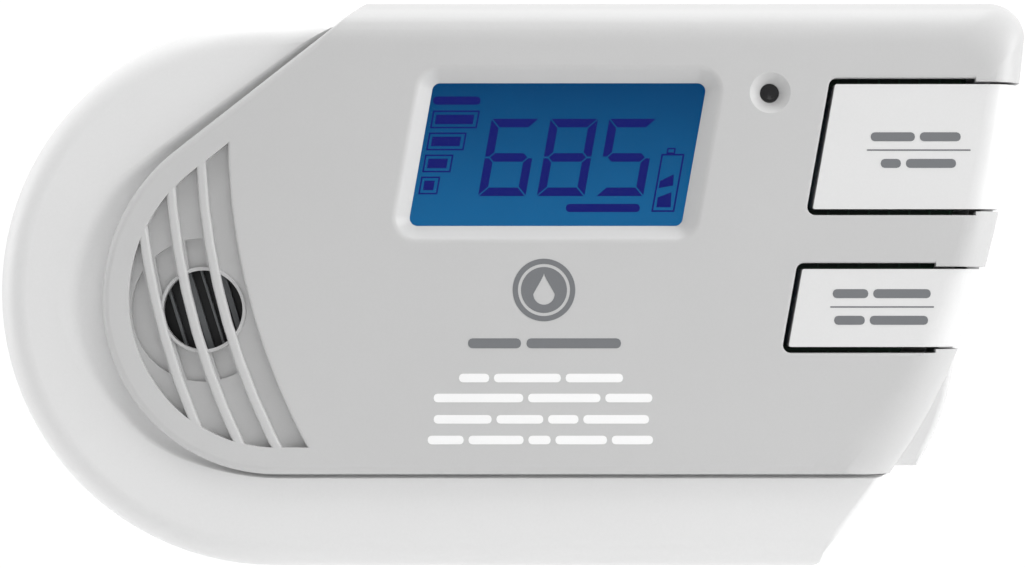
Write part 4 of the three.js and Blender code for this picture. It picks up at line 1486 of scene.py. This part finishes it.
@dataclass
class Display:
    """The blue display behind the window: glass, dark segments and the clear window."""

    window: Leaning
    glyph_height: float = 11.7
    glyph_width: float = 7.2
    glyph_pitch: float = 8.9
    glyph_left: float = -5.3
    glyph_bottom: float = 13.3
    stroke: float = 1.3
    mitre: float = 0.13
    digits: tuple[str, ...] = ("acdefg", "abcdefg", "acdfg")
    level_widths: tuple[float, ...] = (7.1, 5.7, 4.3, 2.9)
    level_top: float = 23.55
    level_pitch: float = 3.33
    level_height: float = 2.7
    fill_inset: float = 0.62
    thin_line: float = 0.24
    cell_foot: Point = (20.9, 10.9)

    def build(self) -> None:
        """Models the display."""
        glass_low, glass_high = node_box("lcd_glass")
        face = glass_low.y
        # The display's top is darker partly from the backlight and partly as painted shade of the window
        # frame's upper edge.
        screen = Backlit("backlit display", srgb(14, 92, 140),
                         bottom=(self.window.bottom + MIDDLE.z) * MM, top=(self.window.top + MIDDLE.z) * MM)
        glass = Workpiece.cube("lcd_glass_panel", glass_low, glass_high)
        glass.inset(lambda middle, normal: normal.y < -0.9, 1.1, -0.01)
        glass.eased(0.12, 2)
        glass.finish(Body.ALARM, screen, "display", "lcd_glass")
        parts = [*self.numerals(face), *self.level_bars(face), *self.cell_sign(face),
                 *self.captions(face)]
        parts[0].gather(*parts[1:])
        Workpiece(parts[0].obj, "lcd_segments").finish(Body.ALARM, SEGMENT_INK, "display")
        self.pane()

    def ink(self, name: str, outline: Sequence[Knot], face: float) -> Workpiece:
        """A dark shape of the display, a tenth of a millimetre thick."""
        return Workpiece.prism(name, outline, face + 0.04, face - 0.06)

    def pane(self) -> None:
        """The clear window, with a step round it that seats behind the cover."""
        low, high = node_box("window_lens")
        pane = Workpiece.loft("clear_window", [
            (self.window.outline(1.6), high.y), (self.window.outline(1.6), low.y + 0.5),
            (self.window.outline(1.5), low.y + 0.4), (self.window.outline(1.2), low.y)], 8)
        pane.finish(Body.ALARM, CLEAR, "window", "window_lens")

    def numerals(self, face: float) -> list[Workpiece]:
        """Three leaning seven-segment digits.

        Args:
            face: the depth of the display's face.

        Returns:
            Their bars.
        """
        made = []
        for i, lit in enumerate(self.digits):
            left = self.glyph_left + i * self.glyph_pitch
            for segment in lit:
                made.append(self.segment(segment, left, face))
        return made

    def segment(self, which: str, left: float, face: float) -> Workpiece:
        """One bar of a digit, mitred where it meets its neighbours.

        Args:
            which: its letter, a to g, clockwise from the top, with g across the middle.
            left: the digit's left edge at its foot.
            face: the depth of the display's face.

        Returns:
            The bar, a tenth of a millimetre thick.
        """
        w, h, t, gap = self.glyph_width, self.glyph_height, self.stroke, self.mitre
        half, rise = h / 2, t / 2
        points = {
            "a": [(gap, h), (t + gap, h - t), (w - t - gap, h - t), (w - gap, h)],
            "d": [(gap, 0), (w - gap, 0), (w - t - gap, t), (t + gap, t)],
            "g": [(t / 2 + gap, half), (t + gap, half - rise), (w - t - gap, half - rise),
                  (w - t / 2 - gap, half), (w - t - gap, half + rise), (t + gap, half + rise)],
            "f": [(0, h - gap), (0, half + gap), (t / 2, half + gap), (t, half + rise + gap),
                  (t, h - t - gap)],
            "e": [(0, gap), (t, t + gap), (t, half - rise - gap), (t / 2, half - gap), (0, half - gap)],
            "b": [(w, h - gap), (w - t, h - t - gap), (w - t, half + rise + gap), (w - t / 2, half + gap),
                  (w, half + gap)],
            "c": [(w, gap), (w, half - gap), (w - t / 2, half - gap), (w - t, half - rise - gap),
                  (w - t, t + gap)],
        }[which]
        lean = self.window.slant
        knots = [Knot((left + x + z * lean, self.glyph_bottom + z)) for x, z in points]
        return self.ink("bar", knots, face)

    def level_bars(self, face: float) -> list[Workpiece]:
        """Four stepped bars down the left, each filled inside its outline.

        Args:
            face: the depth of the display's face.

        Returns:
            Their outlines and fills.
        """
        made = []
        lean = self.window.slant
        for i, width in enumerate(self.level_widths):
            bottom = self.level_top - i * self.level_pitch
            left = self.window.left + 0.5 + (bottom - self.window.bottom) * lean
            made += self.frame_of(left, bottom, width, self.level_height, self.thin_line, face)
            inner = Leaning(left + self.fill_inset + 0.1, left + width - self.fill_inset,
                            bottom + self.fill_inset, bottom + self.level_height - self.fill_inset, 0.05)
            made.append(self.ink("fill", inner.outline(), face))
        return made

    def captions(self, face: float) -> list[Workpiece]:
        """Two captions as plain rows of blocks.

        Args:
            face: the depth of the display's face.

        Returns:
            The blocks.
        """
        row = Print("captions", face - PRINT_PROUD, 1.25)
        row.row(-12.1, -4.9, 27.75, 1)
        row.row(8.0, 19.2, 11.5, 1)
        return row.pieces

    def frame_of(self, left: float, bottom: float, width: float, height: float, line: float,
                 face: float) -> list[Workpiece]:
        """A leaning rectangular outline.

        Args:
            left: its left edge at the bottom.
            bottom: its bottom.
            width: its width.
            height: its height.
            line: the width of its line.
            face: the depth of the display's face.

        Returns:
            The frame as one workpiece in a list.
        """
        outer = Leaning(left, left + width, bottom, bottom + height, 0.05)
        ring = self.ink("frame", outer.outline(), face)
        hole = Workpiece.prism("frame hole", outer.outline(-line), face + 1, face - 1)
        return [ring.combine(Join.CUT, hole)]

    def cell_sign(self, face: float) -> list[Workpiece]:
        """A battery sign at the right: a can with a cap and slanting fills.

        Args:
            face: the depth of the display's face.

        Returns:
            Its outlines and fills.
        """
        left, bottom = self.cell_foot
        made = self.frame_of(left, bottom, 3.5, 8.8, 0.26, face)
        made += self.frame_of(left + 2.3, bottom + 8.8, 1.3, 0.9, 0.22, face)
        for low, foot_rises, head_rises in ((bottom + 0.7, (0.0, 0.0), (1.5, 2.3)),
                                            (bottom + 2.7, (0.9, 1.3), (2.0, 3.0))):
            foot = left + 0.65 + (low - bottom) * self.window.slant
            corners = [(foot, low + foot_rises[0]), (foot + 2.2, low + foot_rises[1]),
                       (foot + 2.3, low + head_rises[1]), (foot + 0.2, low + head_rises[0])]
            made.append(self.ink("charge", [Knot(c) for c in corners], face))
        return made


# ---------------------------------------------------------------- light, sounder and print


@dataclass
class FaceDetails:
    """What else shows in the face: the status light, the sounder and the print."""

    cover: FrontCover
    lens_radius: float = 1.3
    louvre_lean: float = 0.31
    louvre_reach: float = 7.2
    louvres: tuple[Point, ...] = ((-4.7, 0.5), (-1.3, 1.0), (1.1, 0.4), (3.9, 0.9))
    badge_centre: Point = (4.65, -0.9)
    badge_radius: float = 4.7
    badge_ring: Point = (3.45, 3.9)

    def build(self) -> None:
        """Models the light, the sounder and the print."""
        self.status_light()
        self.sounder()
        self.badge()
        self.lines()

    def status_light(self) -> None:
        """A smoked lens with a domed tip, in the countersink."""
        low, high = node_box("light_pipe")
        lens = Workpiece.rod("status_light_lens", self.cover.light, self.lens_radius, high.y,
                             low.y + 0.45, 40)
        lens.inset(lambda middle, normal: normal.y < -0.9, 0.35, -0.25)
        lens.inset(lambda middle, normal: normal.y < -0.9, 0.45, -0.12)
        lens.eased(0.1, 2, 25)
        lens.finish(Body.ALARM, SMOKED, "window", "light_pipe")

    def sounder(self) -> None:
        """The sounder's cap: a raised rim, a sunk middle and leaning louvres across it."""
        low, high = node_box("horn_cap")
        at = self.cover.horn
        cap = Workpiece.rod("sounder_cap", at, (high.x - low.x) / 2, high.y, low.y, 72)
        cap.inset(lambda middle, normal: normal.y < -0.9, 4.2, 0)
        cap.inset(lambda middle, normal: normal.y < -0.9, 0.5, 1.6)
        cap.eased(0.2, 2)
        louvres = []
        for x, width in self.louvres:
            reach = math.sqrt(self.louvre_reach ** 2 - x ** 2)
            left = at[0] + x + reach * self.louvre_lean
            slat = Leaning(left, left + width, at[1] - reach, at[1] + reach, 0.15, -self.louvre_lean)
            louvre = Workpiece.prism("louvre", slat.outline(), low.y + 1.7, low.y + 0.35, 4)
            louvres.append(louvre.eased(0.12, 2))
        cap.finish(Body.ALARM, BLACK_PLASTIC, "black_plastic", "horn_cap")
        # The louvres take the lighter grey against the black cap so that they show as pale streaks: painted
        # highlights.
        louvres[0].gather(*louvres[1:])
        Workpiece(louvres[0].obj, "sounder_louvres").finish(Body.ALARM, GREY_RUBBER_AND_LOUVRE_HIGHLIGHT, "black_plastic")

    def badge(self) -> None:
        """A plain printed badge: a disc with a fine ring and a drop left out of it."""
        centre, front, (inner, outer) = self.badge_centre, self.cover.front, self.badge_ring
        across, up = centre
        disc = Workpiece.rod("face_badge", centre, self.badge_radius, front + 0.1, front - PRINT_PROUD, 72)
        ring = Workpiece.rod("ring", centre, outer, front + 1, front - 1, 72)
        ring.combine(Join.CUT, Workpiece.rod("ring hole", centre, inner, front + 2, front - 2, 72))
        drop = [Knot((across, up + 2.5), (across + 0.2, up + 1.7), (across - 0.2, up + 1.7)),
                *arc((across, up - 0.6), 1.6, 180, 360)]
        disc.combine(Join.CUT, ring, Workpiece.prism("drop", drop, front + 1, front - 1, 8))
        disc.finish(Body.ALARM, PRINT_GREY, "black_plastic")

    def lines(self) -> None:
        """One grey and four white rows of plain marks."""
        front = self.cover.front
        title = Print("name_marks", front, 1.5)
        title.row(-6.75, 16.2, -8.9, 2)
        title.finish(Body.ALARM, PRINT_GREY)
        text = Print("line_marks", front, 1.3)
        for left, right, height, words in ((-8.1, 16.5, -14.1, 3), (-11.9, 20.9, -17.1, 3),
                                           (-11.9, 20.4, -20.3, 4), (-12.8, 21.0, -23.4, 5)):
            text.row(left, right, height, words)
        text.finish(Body.ALARM, PRINT_WHITE)


# ---------------------------------------------------------------- rear


@dataclass
class PlugEnd:
    """The plug base, its back plate, the blades and the screws."""

    corner: float = 6.0
    wall: float = 2.2
    sunk: tuple[float, ...] = (18, -14, 54, 22, 4)
    island: tuple[float, ...] = (25.5, -5, 46.5, 13, 3)
    slot_gap: float = 0.15
    screw_sink: float = 3.0
    screw_hole: float = 1.6
    blade_hole: float = 1.55
    blade_hole_depth: float = 11.8

    def build(self) -> None:
        """Models the rear."""
        self.base()
        self.plate()
        for node in ("neutral_blade", "hot_blade"):
            self.blade(node)
        self.screws("plate_screw", flat=True)
        self.screws("housing_screw", flat=False)

    def outline(self, inset: float = 0.0) -> list[Knot]:
        """The base's outline: round corners, with its lower right side swept in.

        Args:
            inset: how far it moves inwards.

        Returns:
            Its knots.
        """
        low, high = node_box("plug_base")
        left, right, bottom, top = low.x + inset, high.x - inset, low.z + inset, high.z - inset
        knots = rounded([(left, bottom), (right, bottom), (right, top), (left, top)], self.corner - inset)
        pull = (right - 0.5, low.z + 9.5)
        foot, shoulder = (right - 6.9, bottom), (right, low.z + 25.5)
        thirds = [tuple(Vector(p) + (Vector(pull) - Vector(p)) * 2 / 3) for p in (foot, shoulder)]
        knots[2:4] = [Knot(foot, None, thirds[0]), Knot(shoulder, thirds[1], None)]
        return knots

    def base(self) -> None:
        """The base shell with rounded rims, open at the rear for its plate."""
        low, high = node_box("plug_base")
        piece = Workpiece.prism("plug_base_shell", self.outline(), high.y, low.y, 8)
        piece.bevel(lambda p: abs(p.y - low.y) < 1e-3, 1.2, 5)
        piece.bevel(lambda p: abs(p.y - high.y) < 1e-3, 0.9, 4)
        hollow = Workpiece.prism("base hollow", self.outline(self.wall), high.y + 1, low.y + 1.5, 8)
        (left, bottom), (right, top) = POWER_OPENING
        opening = Workpiece.cube("base opening", (left, low.y - 1, bottom), (right, high.y, top))
        piece.combine(Join.CUT, hollow, opening)
        # The darker copy of the housing white is painted shade.
        piece.finish(Body.ALARM, SHADED_HOUSING_WHITE, "housing_plastic", "plug_base")

    def plate(self) -> None:
        """The back plate: a raised border, a shallow field round the blades and sunk screw holes."""
        high = node_box("back_plate")[1]
        outline = self.outline(2.5)
        piece = Workpiece.prism("plug_back_plate", outline, high.y, high.y - 2, 8)
        piece.bevel(lambda p: abs(p.y - high.y) < 1e-3, 0.35, 3)
        tools = [Workpiece.prism("field", block(*self.sunk), high.y + 1, high.y - 0.35, 6)]
        tools += self.blade_slots()
        for i in range(1, 5):
            at = node_middle(f"plate_screw_{i}")
            tools.append(Workpiece.rod("screw sink", (at.x, at.z), self.screw_sink, high.y + 0.01,
                                       high.y - 1.6, 40, self.screw_hole))
            tools.append(Workpiece.rod("screw hole", (at.x, at.z), self.screw_hole, high.y, high.y - 4, 24))
        piece.combine(Join.CUT, *tools)
        island = Workpiece.prism("plug_island", block(*self.island), high.y, high.y - 0.6, 6)
        island.combine(Join.CUT, *self.blade_slots())
        island.eased(0.15, 2)
        island.finish(Body.ALARM, SHADED_HOUSING_WHITE, "housing_plastic")
        piece.finish(Body.ALARM, SHADED_HOUSING_WHITE, "housing_plastic", "back_plate")

    def blade_slots(self) -> list[Workpiece]:
        """The cutting tools of the slots that the two blades stand in.

        Returns:
            The tools.
        """
        slots = []
        for node in ("neutral_blade", "hot_blade"):
            low, high = node_box(node)
            slots.append(Workpiece.cube("blade slot", (low.x - self.slot_gap, -5, low.z - self.slot_gap),
                                        (high.x + self.slot_gap, 1, high.z + self.slot_gap)))
        return slots

    def blade(self, node: str) -> None:
        """One folded-brass blade with a coined tip and a through hole.

        Args:
            node: the frame node that it stands for.
        """
        low, high = node_box(node)
        middle = (low + high) / 2
        piece = Workpiece.cube(f"{node}_metal", low, high)
        half = (high.z - low.z) / 2
        piece.bevel(lambda p: p.y > high.y - 0.01 and abs(abs(p.z - middle.z) - half) < 0.01, 1.5, 1)
        piece.eased(0.22, 3)
        piece.combine(Join.CUT, Workpiece.axle("blade hole", low.x - 2, high.x + 2, self.blade_hole,
                                               (self.blade_hole_depth, middle.z)))
        piece.finish(Body.ALARM, NICKEL, "plated_brass", node)

    def screws(self, family: str, flat: bool) -> None:
        """Four equal screws: the first is modelled and the others are its copies.

        Args:
            family: the start of their nodes' names.
            flat: whether the head is flat; otherwise it is domed.
        """
        first = f"{family}_1"
        pieces = {first: self.screw(first, flat)}
        for i in range(2, 5):
            node = f"{family}_{i}"
            pieces[node] = pieces[first].copied(f"{node}_turned", node_middle(node) - node_middle(first))
        for node, piece in pieces.items():
            piece.finish(Body.ALARM, STEEL, "steel", node)

    def screw(self, node: str, flat: bool) -> Workpiece:
        """A cross-recessed screw, with a flat or a domed head that faces the rear.

        Args:
            node: the frame node that it stands for.
            flat: whether the head is flat; otherwise it is domed.

        Returns:
            The screw.
        """
        low, high = node_box(node)
        at = ((low.x + high.x) / 2, (low.z + high.z) / 2)
        radius = (high.x - low.x) / 2
        under = high.y - (1.3 if flat else 1.9)
        if flat:
            head = Workpiece.rod(f"{node}_turned", at, radius, high.y, under, 40, radius * 0.45)
        else:
            head = Workpiece.rod(f"{node}_turned", at, radius * 0.8, high.y, under, 40, radius)
        head.eased(0.16, 3, 30)
        shank = Workpiece.rod("shank", at, 1.15, under + 0.2, low.y, 24, 0.7)
        head.combine(Join.ADD, shank)
        reach, half, depth = radius * 0.58, 0.34, 0.9
        cross = [Workpiece.cube("recess", (at[0] - reach, high.y - depth, at[1] - half),
                                (at[0] + reach, high.y + 1, at[1] + half)),
                 Workpiece.cube("recess", (at[0] - half, high.y - depth, at[1] - reach),
                                (at[0] + half, high.y + 1, at[1] + reach))]
        return head.combine(Join.CUT, *cross)


@dataclass
class BatteryBay:
    """The battery door and the blank label beside it."""

    thick: float = 1.8
    barrel: float = 1.6
    pin: float = 0.8
    side: float = 1.9
    grips: int = 6
    grip_pitch: float = 1.5
    label_rows: int = 8
    row_pitch: float = 2.9

    def build(self) -> None:
        """Models the door and the label."""
        self.door()
        self.label()

    def door(self) -> None:
        """The door: a plate on a hinge barrel, with finger ribs and a sunk arrow."""
        low, high = node_box("battery_door")
        left, right = low.x + self.side, high.x - self.side
        axis, depth = high.z - self.barrel, high.y - self.barrel
        piece = Workpiece.prism("door_panel", block(left, low.z, right, axis), high.y, high.y - self.thick)
        piece.eased(0.25, 3)
        barrel = Workpiece.axle("barrel", left, right, self.barrel, (depth, axis))
        pin = Workpiece.axle("pin", low.x, high.x, self.pin, (depth, axis), 24)
        piece.combine(Join.ADD, barrel, pin)
        middle = (left + right) / 2
        tools = []
        for i in range(self.grips):
            foot = low.z + 3 + i * self.grip_pitch
            groove = block(middle - 7, foot, middle + 7, foot + 0.7, 0.3)
            tools.append(Workpiece.prism("grip", groove, high.y + 1, high.y - 0.45, 4))
        arrow = [Knot((middle - 3, low.z + 17)), Knot((middle, low.z + 14)), Knot((middle + 3, low.z + 17))]
        tools.append(Workpiece.prism("arrow", arrow, high.y + 1, high.y - 0.4))
        piece.combine(Join.CUT, *tools)
        piece.finish(Body.DOOR, HOUSING_WHITE, "housing_plastic", "battery_door")

    def label(self) -> None:
        """A blank label with a fine printed border and plain rows."""
        low, high = node_box("rating_label")
        film = Workpiece.prism("blank_label", block(low.x, low.z, high.x, high.z, 1.5), high.y, low.y, 6)
        film.finish(Body.ALARM, LABEL, "label", "rating_label")
        rows = Print("label_marks", high.y + 0.02, 0.8)
        for i in range(self.label_rows):
            height = high.z - 3 - i * self.row_pitch
            rows.row(low.x + 2.5, high.x - 3 - 4 * (i % 3 == 2), height, 3 + i % 2)
        rows.finish(Body.ALARM, PRINT_GREY, "label")


# ---------------------------------------------------------------- studio


@dataclass
class Studio:
    """A pale floor, soft lights and a camera square to the face."""

    distance: float = 0.42
    across: float = 0.1539
    ahead: float = 0.5
    behind: float = 0.84
    backdrop: float = 1.05
    floor_radius: float = 0.5
    floor_drop: float = 0.07

    def build(self) -> None:
        """Sets the stage."""
        self.floor()
        self.world()
        low, high = CAD_BOX
        middle = (low + high) / 2
        self.lamp("key from above", middle + Vector((0.0, -0.1, 0.62)), middle, 0.5, 3.4)
        self.lamp("rim from the left", middle + Vector((-0.75, 0.05, 0.12)), middle, 0.5, 1.7)
        self.lamp("rim from the right", middle + Vector((0.70, -0.27, 0.12)), middle, 0.35, 3.4)
        self.camera()

    def floor(self) -> None:
        """A pale round floor, far enough below the alarm to stay out of the front view."""
        bpy.ops.object.select_all(action="DESELECT")
        bpy.ops.mesh.primitive_circle_add(vertices=96, radius=self.floor_radius, fill_type="NGON",
                                          location=(MIDDLE.x * MM, 0, CAD_BOX[0].z - self.floor_drop))
        bpy.ops.object.transform_apply(location=True, rotation=True, scale=True)
        floor = bpy.context.active_object
        floor.name = "studio_floor"
        card = Plastic("floor card", (0.86, 0.86, 0.86), gloss=0.8, depth=0.0)
        floor.data.materials.append(card.material())

    def world(self) -> None:
        """A white surround: as a light it is stronger behind the alarm than ahead of it."""
        world = bpy.data.worlds.new("studio")
        bpy.context.scene.world = world
        world.use_nodes = True
        world.node_tree.nodes.clear()
        graph = Graph(world.node_tree)
        seen = graph.add("ShaderNodeLightPath").outputs["Is Camera Ray"]
        axes = graph.add("ShaderNodeSeparateXYZ")
        graph.link(graph.add("ShaderNodeTexCoord").outputs["Generated"], axes.inputs[0])
        behind = graph.add("ShaderNodeMapRange", interpolation_type="SMOOTHSTEP")
        for name, value in (("From Min", -0.55), ("From Max", 0.25),
                            ("To Min", self.ahead), ("To Max", self.behind)):
            behind.inputs[name].default_value = value
        graph.link(axes.outputs["Y"], behind.inputs["Value"])
        unseen = graph.maths("MULTIPLY", graph.maths("SUBTRACT", 1.0, seen), behind.outputs[0])
        strength = graph.maths("ADD", graph.maths("MULTIPLY", seen, self.backdrop), unseen)
        back = graph.add("ShaderNodeBackground")
        back.inputs["Color"].default_value = (1.0, 1.0, 1.0, 1.0)
        graph.link(strength, back.inputs["Strength"])
        graph.link(back.outputs[0], graph.add("ShaderNodeOutputWorld").inputs["Surface"])
        bpy.context.scene.view_settings.view_transform = "Standard"

    def lamp(self, name: str, place: Vector, target: Vector, size: float, watts: float) -> None:
        """A square soft light.

        Args:
            name: the light's name.
            place: where it stands.
            target: the point that it faces.
            size: the length of its side.
            watts: its power.
        """
        bpy.ops.object.light_add(type="AREA", location=place)
        light = bpy.context.active_object
        light.name = name
        light.data.size = size
        light.data.energy = watts
        light.rotation_euler = (target - place).to_track_quat("-Z", "Y").to_euler()

    def camera(self) -> None:
        """A camera on the face's axis."""
        front = CAD_BOX[0].y
        bpy.ops.object.camera_add(location=(MIDDLE.x * MM, front - self.distance, MIDDLE.z * MM),
                                  rotation=(math.pi / 2, 0, 0))
        camera = bpy.context.active_object
        camera.data.lens = camera.data.sensor_width * self.distance / self.across
        camera.data.clip_start = 0.01
        bpy.context.scene.camera = camera


def main() -> None:
    """Builds the alarm, the stage, the lights and the camera."""
    logging.basicConfig(level=logging.INFO, format="%(message)s")
    Studio().build()
    cover = FrontCover()
    buttons = [
        PushButton("test_button", Body.TEST, Leaning(43.95, 100, 10.35, 30.9, 1.2),
                   ((53.1, 68.7), (53.7, 67.2), (55.2, 66.5)), 20.1, 69.5),
        PushButton("peak_button", Body.PEAK, Leaning(40.3, 100, -10.35, 3.15, 1.2),
                   ((47.6, 63.2), (48.0, 62.7), (48.2, 62.3)), -3.45, 63.5),
    ]
    cover.build(buttons)
    RearHousing().build(cover)
    for button in buttons:
        button.build(cover)
    Display(cover.window).build()
    FaceDetails(cover).build()
    PlugEnd().build()
    BatteryBay().build()
    dress_frame_nodes()


if __name__ == "__main__":
    main()
